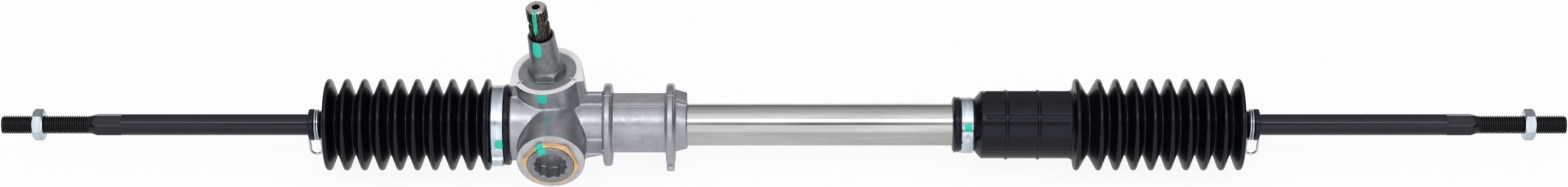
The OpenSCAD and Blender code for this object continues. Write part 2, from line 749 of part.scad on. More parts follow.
function spring_rise(t) =
    let (end = 0.9 / spring_turns, u = min(max((t - end) / (1 - 2 * end), 0), 1))
    u * (spring_high - spring_low - 3.1 * spring_wire) + spring_wire * 1.05 *
    (min(t / end, 1) + min(max((t - 1 + end) / end, 0), 1)) + spring_low + spring_wire / 2;

function spring_ring(i, rings) =
    let (t = i / rings, turn = 360 * spring_turns * t, z = spring_rise(t))
    [for (j = [0 : spring_sides - 1])
        let (a = 360 * j / spring_sides, r = spring_r + spring_wire / 2 * cos(a))
        [r * cos(turn), r * sin(turn), z + spring_wire / 2 * sin(a)]];

module yoke_spring() color(dark_steel) {
    rings = spring_rings_per_turn * spring_turns;
    points = [for (i = [0 : rings], p = spring_ring(i, rings)) p];
    sides = [for (i = [0 : rings - 1], j = [0 : spring_sides - 1])
        let (k = (j + 1) % spring_sides, low = i * spring_sides, high = low + spring_sides)
        each [[low + j, high + j, high + k], [low + j, high + k, low + k]]];
    ends = [[for (j = [0 : spring_sides - 1]) j],
            [for (j = [spring_sides - 1 : -1 : 0]) rings * spring_sides + j]];
    at_yoke() polyhedron(points, concat(ends, sides));
}

// Plug, its ring and the lock nut that holds the setting
module yoke_plug() color(die_cast) {
    plug_r = plug_d / 2;
    groove_y = plug_y - plug_l + 1.6;
    groove_w = 1.8;
    socket_y = plug_y - socket_depth;
    at_yoke() difference() {
        rotate_extrude() polygon([
            [0, plug_y - plug_l], [plug_r - 1.5, plug_y - plug_l], [plug_r - 0.5, groove_y - 0.8],
            [plug_r - 0.5, groove_y], [plug_r - 1.5, groove_y], [plug_r - 1.5, groove_y + groove_w],
            [plug_r, groove_y + groove_w], [plug_r, plug_y - 0.6], [plug_r - 0.6, plug_y], [0, plug_y]]);
        for (turn = [0, 30])
            translate([0, 0, socket_y]) rotate(turn) cylinder(d = socket_d, h = socket_depth + 1, $fn = 6);
        translate([0, 0, plug_y - 0.8]) cylinder(d1 = socket_d - 1.2, d2 = socket_d + 2, h = 1.6);
    }
}

module plug_o_ring() color(black_rubber) at_yoke()
    round_ring(plug_d / 2 - 0.75, 0.7, plug_y - plug_l + 2.5);

module yoke_lock_nut() color(yellow_zinc) at_yoke()
    translate([0, 0, boss_y + face_gap]) hex_nut(yoke_nut_af, plug_d / 2 + fit_gap, yoke_nut_t);

// Boots: profiles run along the rack from the fixed end to the small end, as [x, radius]
function crest_x(first, last, i) = first + (last - first) * i / (crests - 1);

function bellows(first, last, crest_r, valley_r, crest_half, valley_half) = [
    for (i = [0 : crests - 1])
        let (x = crest_x(first, last, i), half = (last - first) / (crests - 1) / 2)
        each concat(
            [[x - crest_half, crest_r - 0.5], [x, crest_r], [x + crest_half, crest_r - 0.5]],
            i < crests - 1
                ? [[x + half - valley_half, valley_r], [x + half + valley_half, valley_r]]
                : [])];

// A shell turned about the rack from an outer and an inner profile; the outline closes on itself
module turned_shell(outer, inner) {
    count = len(inner);
    back = [for (i = [1 : count]) inner[count - i]];
    along_x() rotate_extrude($fn = 96) polygon([for (p = concat(outer, back)) [p[1], p[0]]]);
}

boot_bore = rod_d / 2 + run_gap;

// The last stretch of both boots, measured from the ball centre: crest to cuff and lip
function small_end_outer() = [
    [boot_reach - small_cuff_l, small_cuff_d / 2], [boot_reach - 3.6, small_cuff_d / 2],
    [boot_reach - 3.6, small_lip_d / 2], [boot_reach - 0.8, small_lip_d / 2],
    [boot_reach, small_lip_d / 2 - 0.8]];
function small_end_inner() = [[boot_reach - small_cuff_l - 1.3, boot_bore], [boot_reach, boot_bore]];

function along(points, x, sign) = [for (p = points) [x + sign * p[0], p[1]]];

left_first = -shoulder_offset - spigot_l - 1.8;
left_last = left_ball_x - boot_reach + small_end_gap;
right_first = tube_right_x + 12.5;
right_last = right_ball_x + boot_reach - small_end_gap;
right_cuff_x = right_first - right_sleeve_l;
left_band_x = left_stop_x - 4 - band_w;
right_band_x = right_cuff_x + 5.6;

module left_boot() color(black_rubber) {
    cuff_bore = spigot_d / 2 + fit_gap;
    crest_r = crest_d / 2;
    valley_r = valley_d / 2;
    outer = concat(
        [[left_stop_x - face_gap, left_bead_d / 2 - 0.8], [left_stop_x - 0.9, left_bead_d / 2],
         [left_stop_x - 3.2, left_bead_d / 2], [left_stop_x - 3.8, left_cuff_d / 2],
         [left_band_x - 0.2, left_cuff_d / 2]],
        bellows(left_first, left_last, crest_r, valley_r, -1.2, -0.9),
        along(small_end_outer(), left_ball_x, -1));
    inner = concat(
        [[left_stop_x - face_gap, cuff_bore], [left_stop_x - spigot_l + 0.4, cuff_bore]],
        bellows(left_first, left_last, crest_r - boot_wall, valley_r - boot_wall, -0.5, -1.7),
        along(small_end_inner(), left_ball_x, -1));
    turned_shell(outer, inner);
}

module right_boot() color(black_rubber) {
    cuff_bore = tube_d / 2 + fit_gap;
    crest_r = crest_d / 2;
    valley_r = valley_d / 2;
    sleeve_x = right_cuff_x + 20;
    sleeve_end = right_first - 4.4;
    outer = concat(
        [[right_cuff_x, right_bead_d / 2 - 1.4], [right_cuff_x + 1.2, right_bead_d / 2],
         [right_cuff_x + 4, right_bead_d / 2], [right_band_x - 0.6, right_cuff_d / 2],
         [right_band_x + band_w + 3.5, right_cuff_d / 2], [sleeve_x, sleeve_d / 2],
         [sleeve_end, sleeve_d / 2]],
        bellows(right_first, right_last, crest_r, valley_r, 1.2, 0.9),
        along(small_end_outer(), right_ball_x, 1));
    inner = concat(
        [[right_cuff_x, cuff_bore], [right_band_x + band_w + 4.2, cuff_bore],
         [sleeve_x + 0.6, sleeve_d / 2 - boot_wall], [sleeve_end + 0.4, sleeve_d / 2 - boot_wall]],
        bellows(right_first, right_last, crest_r - boot_wall, valley_r - boot_wall, 0.5, 1.7),
        along(small_end_inner(), right_ball_x, 1));
    turned_shell(outer, inner);
    sleeve_l = sleeve_end - sleeve_x;
    for (i = [0 : sleeve_ribs - 1]) rotate([i * 360 / sleeve_ribs, 0, 0])
        translate([sleeve_x + 2, -sleeve_d / 2 - sleeve_rib_h, -sleeve_rib_w / 2])
            cube([sleeve_l, sleeve_rib_h + boot_wall / 2, sleeve_rib_w]);
    for (x = [sleeve_x + sleeve_l * 0.26, sleeve_x + sleeve_l * 0.64])
        along_x(x - sleeve_rib_w / 2)
            ring(sleeve_d / 2 + sleeve_rib_h, sleeve_d / 2 - boot_wall / 2, sleeve_rib_w);
}

// Ear bands on the fixed ends and wire clips on the small ends
module ear_band(inner_r, turn) {
    ring(inner_r + band_t, inner_r, band_w);
    ear_foot = inner_r + band_t / 2;
    rotate(turn) translate([0, 0, band_w * 0.06]) linear_extrude(band_w * 0.88) difference() {
        translate([ear_foot, -ear_w / 2]) square([ear_h, ear_w]);
        translate([ear_foot - 1, -ear_w / 2 + band_t]) square([ear_h + 1 - band_t, ear_w - 2 * band_t]);
        circle(r = inner_r + band_t / 4);
    }
}

// Turns about the rack are counted from straight down towards the back
module left_boot_band() color(zinc) along_x(left_band_x) ear_band(left_cuff_d / 2 + fit_gap, -72);
module right_boot_band() color(zinc) along_x(right_band_x) ear_band(right_cuff_d / 2 + fit_gap, -107);

// Two turns of wire whose end hangs down in a loop, its free leg just outside the lip
module wire_clip() {
    wire_r = clip_wire / 2;
    coil_r = small_cuff_d / 2 + wire_r + fit_gap;
    outer_x = boot_reach - 3.6 - clip_wire * 1.2;
    inner_x = outer_x - clip_wire - 0.1;
    loop_r = 2.2;
    lip_gap = small_lip_d / 2 - coil_r + 0.8;
    for (x = [inner_x, outer_x]) along_x(x) round_ring(coil_r, wire_r);
    translate([inner_x, 0, -coil_r - clip_tail]) {
        cylinder(r = wire_r, h = clip_tail + 0.4);
        translate([2 * loop_r, 0, 0]) cylinder(r = wire_r, h = clip_tail - lip_gap);
        translate([loop_r, 0, 0]) rotate([90, 0, 0]) rotate_extrude(angle = 180, start = 180)
            translate([loop_r, 0]) circle(r = wire_r, $fn = 24);
    }
}

module left_boot_clip() color(zinc) on_left() wire_clip();
module right_boot_clip() color(zinc) on_right() wire_clip();

// Inner ball joint, drawn about the ball centre with the tie rod leaving along +X
seat_inner_r = ball_stud_d / 2 + run_gap;
seat_outer_r = seat_inner_r + ball_seat_wall;
cavity_ball_r = seat_outer_r + run_gap;

// The space that a cone of the given half angle opens on the +X side of the ball centre
module mouth_cone(half_angle, length) along_x() cylinder(r1 = 0, r2 = length * tan(half_angle), h = length);

module ball_socket() {
    mouth_x = cavity_ball_r * cos(mouth_opening) + 1.4;
    socket_r = ball_socket_d / 2;
    rim = 1.2;
    difference() {
        along_x() rotate_extrude() polygon([
            [0, -ball_depth], [socket_r - rim, -ball_depth], [socket_r, -ball_depth + rim],
            [socket_r, mouth_x - 2.4], [socket_r - 1.8, mouth_x], [0, mouth_x]]);
        sphere(r = cavity_ball_r);
        mouth_cone(mouth_opening, ball_socket_d);
    }
    along_x(-ball_depth - tab_t - stud_l) cylinder(d = stud_d, h = stud_l + tab_t + 0.5);
}

module left_ball_socket() color(dark_steel) on_left() ball_socket();
module right_ball_socket() color(dark_steel) on_right() ball_socket();

module ball_seat() difference() {
    sphere(r = seat_outer_r);
    sphere(r = seat_inner_r);
    mouth_cone(seat_opening, ball_stud_d);
    along_x(-ball_stud_d) cylinder(r = 3, h = ball_stud_d);
}

module left_ball_seat() color(white_plastic) on_left() ball_seat();
module right_ball_seat() color(white_plastic) on_right() ball_seat();

// Tab washer: its tab is bent over the side of the ball socket
module tab_washer() {
    washer_r = ball_socket_d / 2 - 1.5;
    tab_w = 6;
    tab_l = 5;
    tab_z = ball_socket_d / 2 + 0.3;
    along_x(-ball_depth - tab_t + 0.02) {
        ring(washer_r, stud_d / 2 + fit_gap, tab_t - 0.04);
        translate([-tab_z - tab_t, -tab_w / 2, 0])
            cube([tab_z + tab_t - washer_r + 1, tab_w, tab_t - 0.04]);
        translate([-tab_z - tab_t, -tab_w / 2, 0]) cube([tab_t, tab_w, tab_t + tab_l]);
    }
}

module left_tab_washer() color(bright_steel) on_left() tab_washer();
module right_tab_washer() color(bright_steel) on_right() tab_washer();

// Tie rod: ball, neck, rod, wrench flats and thread in one forging
module tie_rod() {
    thread_x = tie_rod_l - thread_l;
    flats_end = thread_x - thread_taper_l;
    flats_x = flats_end - flats_l;
    free_x = tie_rod_l - nut_from_tip;
    thread_r = thread_d / 2;
    relief = 0.2;
    neck_x = ball_stud_d / 2 + 12;
    sphere(d = ball_stud_d);
    along_x() rotate_extrude() polygon([
        [0, 0], [neck_d / 2, 0], [neck_d / 2, neck_x], [rod_d / 2, neck_x + 3], [rod_d / 2, flats_x + 0.01],
        [0, flats_x + 0.01]]);
    intersection() {
        along_x(flats_x) rotate(30) cylinder(d = flats_af / cos(30), h = flats_l, $fn = 6);
        along_x(flats_x) cylinder(d = flats_d, h = flats_l);
    }
    along_x() rotate_extrude() polygon([
        [0, flats_end - 0.01], [flats_af / 2, flats_end - 0.01], [thread_r - relief, thread_x],
        [thread_r - relief, free_x], [thread_r, free_x], [thread_r, tie_rod_l - 1.2],
        [thread_r - 1.2, tie_rod_l], [0, tie_rod_l]]);
}

module left_tie_rod() color(black_steel) on_left() tie_rod();
module right_tie_rod() color(black_steel) on_right() tie_rod();

module tie_rod_nut() translate([tie_rod_l - nut_from_tip - nut_t, 0, 0]) along_x()
    hex_nut(nut_af, thread_d / 2 - 0.2 + fit_gap, nut_t);

module left_lock_nut() color(zinc) on_left() tie_rod_nut();
module right_lock_nut() color(zinc) on_right() tie_rod_nut();

housing();
rack_tube();
tube_end_bush();
rack_bar();
pinion();
pinion_lower_bush();
bearing_outer_race();
bearing_inner_race();
bearing_balls();
bearing_cage();
bearing_circlip();
pinion_cover();
pinion_seal();
cover_o_ring();
support_yoke();
yoke_liner();
yoke_spring();
yoke_plug();
plug_o_ring();
yoke_lock_nut();
left_boot();
right_boot();
left_boot_band();
right_boot_band();
left_boot_clip();
right_boot_clip();
left_ball_socket();
right_ball_socket();
left_ball_seat();
right_ball_seat();
left_tab_washer();
right_tab_washer();
left_tie_rod();
right_tie_rod();
left_lock_nut();
right_lock_nut();
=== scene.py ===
"""The looks of a manual rack-and-pinion steering gear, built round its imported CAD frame.

Lengths are in metres. X runs along the rack, +Z up the pinion tower and -Y towards the yoke plug.
Places come from the frame: the boxes of the CAD nodes and the points and axes of the joints.
"""

import json
import logging
import math
from dataclasses import dataclass
from enum import Enum
from functools import cache
from typing import Any, Iterable, Sequence

import bmesh
import bpy
from mathutils import Matrix, Vector
from mathutils.bvhtree import BVHTree


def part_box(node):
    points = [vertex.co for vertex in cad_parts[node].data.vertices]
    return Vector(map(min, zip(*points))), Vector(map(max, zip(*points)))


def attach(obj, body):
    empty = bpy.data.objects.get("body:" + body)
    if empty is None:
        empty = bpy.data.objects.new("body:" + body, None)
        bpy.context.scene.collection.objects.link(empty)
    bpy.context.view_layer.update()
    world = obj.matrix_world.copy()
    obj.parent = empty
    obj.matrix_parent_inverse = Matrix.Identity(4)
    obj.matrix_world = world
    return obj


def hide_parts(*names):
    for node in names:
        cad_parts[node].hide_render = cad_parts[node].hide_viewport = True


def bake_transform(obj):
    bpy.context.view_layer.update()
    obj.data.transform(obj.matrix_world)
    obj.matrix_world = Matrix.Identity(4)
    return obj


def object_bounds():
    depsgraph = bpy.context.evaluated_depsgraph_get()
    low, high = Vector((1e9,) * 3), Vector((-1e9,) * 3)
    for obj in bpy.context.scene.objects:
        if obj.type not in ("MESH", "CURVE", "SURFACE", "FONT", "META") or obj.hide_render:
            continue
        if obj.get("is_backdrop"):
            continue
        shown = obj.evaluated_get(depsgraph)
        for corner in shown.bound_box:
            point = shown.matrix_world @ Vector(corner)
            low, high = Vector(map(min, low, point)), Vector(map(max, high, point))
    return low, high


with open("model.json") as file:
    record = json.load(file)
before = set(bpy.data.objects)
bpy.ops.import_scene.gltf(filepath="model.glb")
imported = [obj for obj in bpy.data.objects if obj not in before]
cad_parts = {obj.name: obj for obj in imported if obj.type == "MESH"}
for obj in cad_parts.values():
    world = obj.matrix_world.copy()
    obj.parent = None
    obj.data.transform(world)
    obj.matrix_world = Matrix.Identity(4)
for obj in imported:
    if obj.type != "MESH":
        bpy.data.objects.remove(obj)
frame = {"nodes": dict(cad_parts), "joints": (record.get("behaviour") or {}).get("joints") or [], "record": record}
cad_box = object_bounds()

log = logging.getLogger("steering_gear")
MM = 0.001
TAU = 2 * math.pi
WELD = 0.001 * MM
JOINTS = {joint["name"]: joint for joint in frame["joints"]}

Corner = tuple[float, ...]


class Side(Enum):
    """The two ends of the rack; the value starts the names of their nodes and joints."""

    LEFT = "left"
    RIGHT = "right"

    @property
    def sign(self) -> int:
        """The direction of X in which this side leaves the housing."""
        return -1 if self is Side.LEFT else 1

    @property
    def ball_x(self) -> float:
        """The place of this side's ball centre along the rack."""
        return JOINTS[f"{self.value}_rod_up_down"]["pos_m"][0]

    def from_ball(self, reach: float) -> float:
        """The X that lies a distance outwards of the ball centre."""
        return self.ball_x + self.sign * reach


class Axis(Enum):
    """The lines about which turned pieces stand."""

    RACK = "rack"
    PINION = "pinion"
    YOKE = "yoke"

    @property
    def matrix(self) -> Matrix:
        """The turn and shift from a piece turned about X to this line.

        Returns:
            The matrix.
        """
        if self is Axis.RACK:
            return Matrix.Identity(4)
        pinion = JOINTS["pinion_turn"]
        if self is Axis.YOKE:
            turn = Matrix.Rotation(-math.pi / 2, 4, "Z")
            return Matrix.Translation((pinion["pos_m"][0], 0, 0)) @ turn
        up = Vector(pinion["axis"]).normalized()
        turn = Vector((1, 0, 0)).rotation_difference(up).to_matrix().to_4x4()
        return Matrix.Translation(pinion["pos_m"]) @ turn


@cache
def extent(node: str) -> tuple[Vector, Vector]:
    """The low and high corners of a CAD node, measured once."""
    low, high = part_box(node)
    return Vector(low), Vector(high)


def linear(shade: str) -> tuple[float, float, float, float]:
    """Turns a written colour such as "8090a0" into Blender's linear one."""
    parts = [int(shade[i:i + 2], 16) / 255 for i in (0, 2, 4)]
    return (*(p / 12.92 if p <= 0.04045 else ((p + 0.055) / 1.055) ** 2.4 for p in parts), 1.0)


class Graph:
    """Adds nodes to a shader or geometry tree and links them as it goes."""

    def __init__(self, tree: bpy.types.NodeTree) -> None:
        """Keeps the tree that the nodes go into."""
        self.tree = tree

    def add(self, kind: str, inputs: dict[Any, Any] | None = None, **settings: Any) -> bpy.types.Node:
        """Adds one node.

        Args:
            kind: Blender's name of the node type.
            inputs: A value or a socket for each input, by name or number.
            settings: Properties of the node.
        Returns:
            The node.
        """
        node = self.tree.nodes.new(kind)
        for name, value in settings.items():
            setattr(node, name, value)
        for key, value in (inputs or {}).items():
            self.feed(node.inputs[key], value)
        return node

    def feed(self, socket: bpy.types.NodeSocket, value: Any) -> None:
        """Links a socket to the input, or sets the input to a plain value.

        Args:
            socket: The input.
            value: A socket or a plain value.
        """
        if isinstance(value, bpy.types.NodeSocket):
            self.tree.links.new(value, socket)
        else:
            socket.default_value = value

    def math(self, operation: str, a: Any, b: Any = 0.0, c: Any = 0.0) -> bpy.types.NodeSocket:
        """Adds a Math node and returns its result."""
        return self.add("ShaderNodeMath", {0: a, 1: b, 2: c}, operation=operation).outputs[0]

    def vector(self, operation: str, a: Any, b: Any = (0, 0, 0)) -> bpy.types.NodeSocket:
        """Adds a Vector Math node and returns its first result."""
        return self.add("ShaderNodeVectorMath", {0: a, 1: b}, operation=operation).outputs[0]

    def measure(self, operation: str, a: Any, b: Any = (0, 0, 0)) -> bpy.types.NodeSocket:
        """Adds a Vector Math node and returns its number."""
        return self.add("ShaderNodeVectorMath", {0: a, 1: b}, operation=operation).outputs[1]

    def split(self, vector: Any) -> list[bpy.types.NodeSocket]:
        """Splits a vector into its three numbers."""
        return list(self.add("ShaderNodeSeparateXYZ", {0: vector}).outputs)

    def join(self, x: Any, y: Any, z: Any) -> bpy.types.NodeSocket:
        """Makes a vector of three numbers."""
        return self.add("ShaderNodeCombineXYZ", {0: x, 1: y, 2: z}).outputs[0]

    def noise(self, vector: Any, size: float, detail: float = 3.0,
              rough: float = 0.55) -> bpy.types.NodeSocket:
        """Adds noise whose blotches are about a given size.

        Args:
            vector: The coordinates that it reads.
            size: Size of a blotch, in metres.
            detail: Finer layers on top of it.
            rough: How strong the finer layers are.
        Returns:
            A number that wanders about a half.
        """
        inputs = {"Vector": vector, "Scale": 1 / size, "Detail": detail, "Roughness": rough}
        return self.add("ShaderNodeTexNoise", inputs).outputs[0]

    def ramp(self, value: Any, low: float, high: float, start: float = 0.0,
             end: float = 1.0) -> bpy.types.NodeSocket:
        """Takes a number smoothly from start to end as it goes from low to high.

        Args:
            value: The number that is read.
            low: Where the result begins to change.
            high: Where the result has changed.
            start: The result up to low.
            end: The result past high.
        Returns:
            The result.
        """
        inputs = {"Value": value, "From Min": low, "From Max": high, "To Min": start, "To Max": end}
        node = self.add("ShaderNodeMapRange", inputs, interpolation_type="SMOOTHSTEP")
        return node.outputs[0]

    def mix(self, share: Any, a: Any, b: Any) -> bpy.types.NodeSocket:
        """Mixes two colours by a share."""
        return self.add("ShaderNodeMix", {0: share, 6: a, 7: b}, data_type="RGBA").outputs[2]


@dataclass(frozen=True)
class PaintMark:
    """A daub of teal paint that an inspector leaves.

    Attributes:
        centre: Middle of the daub.
        half: Half its width along X, Y and Z.
        squareness: 2 for a round daub, more for a squarer one.
    """

    centre: tuple[float, float, float]
    half: tuple[float, float, float]
    squareness: float = 4.0

    EDGE = (1.15, 0.75)

    def mask(self, graph: Graph, position: Any) -> bpy.types.NodeSocket:
        """One inside the daub and nought outside, with a ragged edge.

        Args:
            graph: The tree that the nodes go into.
            position: The coordinates that it reads.
        Returns:
            The share of paint.
        """
        scaled = graph.vector("DIVIDE", graph.vector("SUBTRACT", position, self.centre), self.half)
        parts = [graph.math("POWER", graph.math("ABSOLUTE", part), self.squareness)
                 for part in graph.split(scaled)]
        reach = graph.math("ADD", graph.math("ADD", parts[0], parts[1]), parts[2])
        return graph.ramp(reach, *self.EDGE)


@dataclass(frozen=True)
class Finish:
    """A surface with two mottled shades and a fine grain.

    Attributes:
        name: Name of the material.
        shade: Main colour.
        second: Colour of the blotches.
        metallic: How much of a metal it is.
        roughness: Mean roughness.
        spread: How far the roughness wanders.
        blotch: Size of the blotches.
        grain: Size of the grain.
        depth: Height of the grain.
        stretch: Lengthening of blotches and grain along X, Y and Z.
        gloss: Strength of the reflection where it is no metal.
        tint: Colour of that reflection.
        marks: Daubs of paint on it.
    """

    name: str
    shade: str
    second: str
    metallic: float
    roughness: float
    spread: float = 0.08
    blotch: float = 6 * MM
    grain: float = 0.5 * MM
    depth: float = 0.02 * MM
    stretch: tuple[float, float, float] = (1.0, 1.0, 1.0)
    gloss: float = 0.5
    tint: str = "ffffff"
    marks: tuple[PaintMark, ...] = ()

    PAINT = "12d2b6"
    PAINT_ROUGHNESS = 0.42
    RAGGED = 1.3 * MM
    RAGGED_SCALE = 900.0
    MOTTLED = (0.36, 0.64)
    WORN = (0.3, 0.7)
    WORN_SHARE = 0.6

    def colour(self, graph: Graph, position: Any) -> bpy.types.NodeSocket:
        """The colour over the surface, before any paint."""
        share = graph.ramp(graph.noise(position, self.blotch), *self.MOTTLED)
        return graph.mix(share, linear(self.shade), linear(self.second))

    def height(self, graph: Graph, position: Any) -> bpy.types.NodeSocket:
        """The grain that the bump takes, from nought to one."""
        return graph.noise(position, self.grain, 2.0)

    def rough(self, graph: Graph, position: Any) -> bpy.types.NodeSocket:
        """The roughness over the surface, before any paint."""
        low, high = self.roughness - self.spread, self.roughness + self.spread
        return graph.ramp(graph.noise(position, self.blotch * self.WORN_SHARE, 4.0), *self.WORN, low, high)

    def daub(self, graph: Graph, shader: bpy.types.Node, place: Any, colour: Any,
             rough: Any) -> tuple[Any, Any]:
        """Paints the daubs over the surface.

        Args:
            graph: The tree that the nodes go into.
            shader: The shader of the surface.
            place: The coordinates of the piece.
            colour: The colour without paint.
            rough: The roughness without paint.
        Returns:
            The colour and the roughness with the paint.
        """
        wander = graph.add("ShaderNodeTexNoise", {"Vector": place, "Scale": self.RAGGED_SCALE}).outputs[1]
        ragged = graph.vector("SUBTRACT", wander, (0.5,) * 3)
        ragged = graph.vector("ADD", place, graph.vector("MULTIPLY", ragged, (self.RAGGED,) * 3))
        painted: Any = 0.0
        for mark in self.marks:
            painted = graph.math("MAXIMUM", painted, mark.mask(graph, ragged))
        colour = graph.mix(painted, colour, linear(self.PAINT))
        bare = graph.math("SUBTRACT", 1.0, painted)
        graph.feed(shader.inputs["Metallic"], graph.math("MULTIPLY", bare, self.metallic))
        paint_rough = graph.math("MULTIPLY", painted, self.PAINT_ROUGHNESS)
        return colour, graph.math("MULTIPLY_ADD", bare, rough, paint_rough)

    def make(self) -> bpy.types.Material:
        """Builds the material.

        Returns:
            The material, or the one already built under this name.
        """
        label = f"finish_{self.name}"
        if label in bpy.data.materials:
            return bpy.data.materials[label]
        material = bpy.data.materials.new(label)
        material.use_nodes = True
        graph = Graph(material.node_tree)
        shader = material.node_tree.nodes["Principled BSDF"]
        place = graph.add("ShaderNodeTexCoord").outputs["Object"]
        position = graph.vector("DIVIDE", place, self.stretch)
        colour, rough = self.colour(graph, position), self.rough(graph, position)
        shader.inputs["Metallic"].default_value = self.metallic
        shader.inputs["Specular IOR Level"].default_value = self.gloss
        shader.inputs["Specular Tint"].default_value = linear(self.tint)
        if self.marks:
            colour, rough = self.daub(graph, shader, place, colour, rough)
        graph.feed(shader.inputs["Base Color"], colour)
        graph.feed(shader.inputs["Roughness"], rough)
        bump = graph.add("ShaderNodeBump", {"Height": self.height(graph, position)})
        bump.inputs["Strength"].default_value = 1.0
        bump.inputs["Distance"].default_value = self.depth
        graph.feed(shader.inputs["Normal"], bump.outputs[0])
        return material


class CastFinish(Finish):
    """Die-cast aluminium: cold-flow clouds, a pitted skin and darker specks."""

    CLOUDS = (0.32, 0.68)
    SPECK = 0.8 * MM
    SPECKS = (0.58, 0.76, 0.0, 0.5)
    SPECK_SHADE = "4b4c50"
    WAVE = 4 * MM
    WAVE_HEIGHT = 2.2
    PIT = 1.3 * MM
    PITS = (0.71, 0.79, 0.0, -1.6)

    def colour(self, graph: Graph, position: Any) -> bpy.types.NodeSocket:
        """Clouds of two greys with fine dark specks over them.

        Args:
            graph: The tree that the nodes go into.
            position: The coordinates that it reads.
        Returns:
            The colour.
        """
        clouds = graph.ramp(graph.noise(position, self.blotch, 5.0, 0.6), *self.CLOUDS)
        base = graph.mix(clouds, linear(self.shade), linear(self.second))
        specks = graph.ramp(graph.noise(position, self.SPECK, 4.0, 0.7), *self.SPECKS)
        return graph.mix(specks, base, linear(self.SPECK_SHADE))

    def height(self, graph: Graph, position: Any) -> bpy.types.NodeSocket:
        """Broad waves of the die skin under a fine grain.

        Args:
            graph: The tree that the nodes go into.
            position: The coordinates that it reads.
        Returns:
            The height that the bump takes.
        """
        waves = graph.noise(position, self.WAVE, 3.0)
        grain = graph.noise(position, self.grain, 3.0)
        pits = graph.ramp(graph.noise(position, self.PIT, 1.0), *self.PITS)
        return graph.math("ADD", graph.math("MULTIPLY_ADD", waves, self.WAVE_HEIGHT, grain), pits)


class DrawnFinish(Finish):
    """Drawn or turned steel, with fine lines that its stretch sets."""

    def height(self, graph: Graph, position: Any) -> bpy.types.NodeSocket:
        """Fine drawing lines."""
        return graph.noise(position, self.grain, 4.0, 0.7)


@dataclass(frozen=True)
class TurnedFinish(Finish):
    """A face turned or milled about an axis, with fine rings.

    Attributes:
        axis: The line about which it was cut.
    """

    axis: Axis = Axis.PINION

    def height(self, graph: Graph, position: Any) -> bpy.types.NodeSocket:
        """Fine rings about the axis.

        Args:
            graph: The tree that the nodes go into.
            position: The coordinates that it reads.
        Returns:
            The height that the bump takes.
        """
        matrix = self.axis.matrix
        along = matrix.to_3x3() @ Vector((1, 0, 0))
        offset = graph.vector("SUBTRACT", position, tuple(matrix.translation))
        crossed = graph.vector("CROSS_PRODUCT", offset, tuple(along))
        radius = graph.measure("LENGTH", crossed)
        return graph.noise(graph.join(radius, 0.0, 0.0), self.grain, 3.0)


@dataclass(frozen=True)
class RubberFinish(Finish):
    """Moulded rubber, semi-gloss with duller wipes.

    Attributes:
        seam_angle: Angle about the rack of the line that the mould's halves leave, or nothing.
        seam_half: Half the width of that line.
    """

    seam_angle: float | None = None
    seam_half: float = 0.22 * MM

    WIPE = 14 * MM
    WIPES = (0.35, 0.7)
    WANDER = 0.8 * MM
    WANDER_SIZE = 3 * MM
    SEAM_HEIGHT = 18.0

    def rough(self, graph: Graph, position: Any) -> bpy.types.NodeSocket:
        """Semi-gloss with duller wipes."""
        wipes = graph.noise(position, self.WIPE, 5.0, 0.65)
        return graph.ramp(wipes, *self.WIPES, self.roughness - self.spread, self.roughness + self.spread)

    def height(self, graph: Graph, position: Any) -> bpy.types.NodeSocket:
        """A fine grain, with the ragged line of the mould over it.

        Args:
            graph: The tree that the nodes go into.
            position: The coordinates that it reads.
        Returns:
            The height that the bump takes.
        """
        grain = super().height(graph, position)
        if self.seam_angle is None:
            return grain
        normal = (0.0, math.sin(self.seam_angle), math.cos(self.seam_angle))
        across = graph.measure("DOT_PRODUCT", position, normal)
        wander = graph.noise(position, self.WANDER_SIZE)
        wandered = graph.math("MULTIPLY_ADD", wander, self.WANDER, across)
        off = graph.math("ABSOLUTE", graph.math("SUBTRACT", wandered, self.WANDER / 2))
        line = graph.ramp(off, 0.5 * self.seam_half, 1.5 * self.seam_half, 1.0, 0.0)
        return graph.math("MULTIPLY_ADD", line, self.SEAM_HEIGHT, grain)


@dataclass(frozen=True)
class OiledSpline(Finish):
    """The dark oiled pinion, bare and bright on its turned top.

    Attributes:
        bright_from: Height along the pinion above which the top is bright.
        base: A point on the pinion's axis.
        up: The direction of that axis.
    """

    bright_from: float = 0.0
    base: tuple[float, float, float] = (0.0, 0.0, 0.0)
    up: tuple[float, float, float] = (0.0, 0.0, 1.0)

    RUB = 1.6 * MM
    RUBBED = (0.56, 0.72, 0.0, 0.55)
    RUBBED_SHADE = "a39a90"
    BARE_SHADE = "c9c5bf"
    BARE_EDGE = 0.1 * MM

    def colour(self, graph: Graph, position: Any) -> bpy.types.NodeSocket:
        """Brown-black with rubbed spots, and bright at the top.

        Args:
            graph: The tree that the nodes go into.
            position: The coordinates that it reads.
        Returns:
            The colour.
        """
        dark = super().colour(graph, position)
        rubbed = graph.ramp(graph.noise(position, self.RUB, 4.0, 0.7), *self.RUBBED)
        dark = graph.mix(rubbed, dark, linear(self.RUBBED_SHADE))
        along = graph.measure("DOT_PRODUCT", graph.vector("SUBTRACT", position, self.base), self.up)
        bright = graph.ramp(along, self.bright_from - self.BARE_EDGE, self.bright_from + self.BARE_EDGE)
        return graph.mix(bright, dark, linear(self.BARE_SHADE))


def tree_of(name: str, sockets: Sequence[tuple[str, str, Any]]) -> tuple[Graph, Any, Any]:
    """Starts a geometry tree with named inputs.

    Args:
        name: Name of the tree.
        sockets: Name, kind and default of each input after the geometry.
    Returns:
        The graph, the tree's input node and its output node.
    """
    tree = bpy.data.node_groups.new(name, "GeometryNodeTree")
    tree.interface.new_socket("Geometry", in_out="INPUT", socket_type="NodeSocketGeometry")
    tree.interface.new_socket("Geometry", in_out="OUTPUT", socket_type="NodeSocketGeometry")
    for label, kind, default in sockets:
        made = tree.interface.new_socket(label, in_out="INPUT", socket_type=f"NodeSocket{kind}")
        if default is not None:
            made.default_value = default
    graph = Graph(tree)
    return graph, graph.add("NodeGroupInput"), graph.add("NodeGroupOutput")


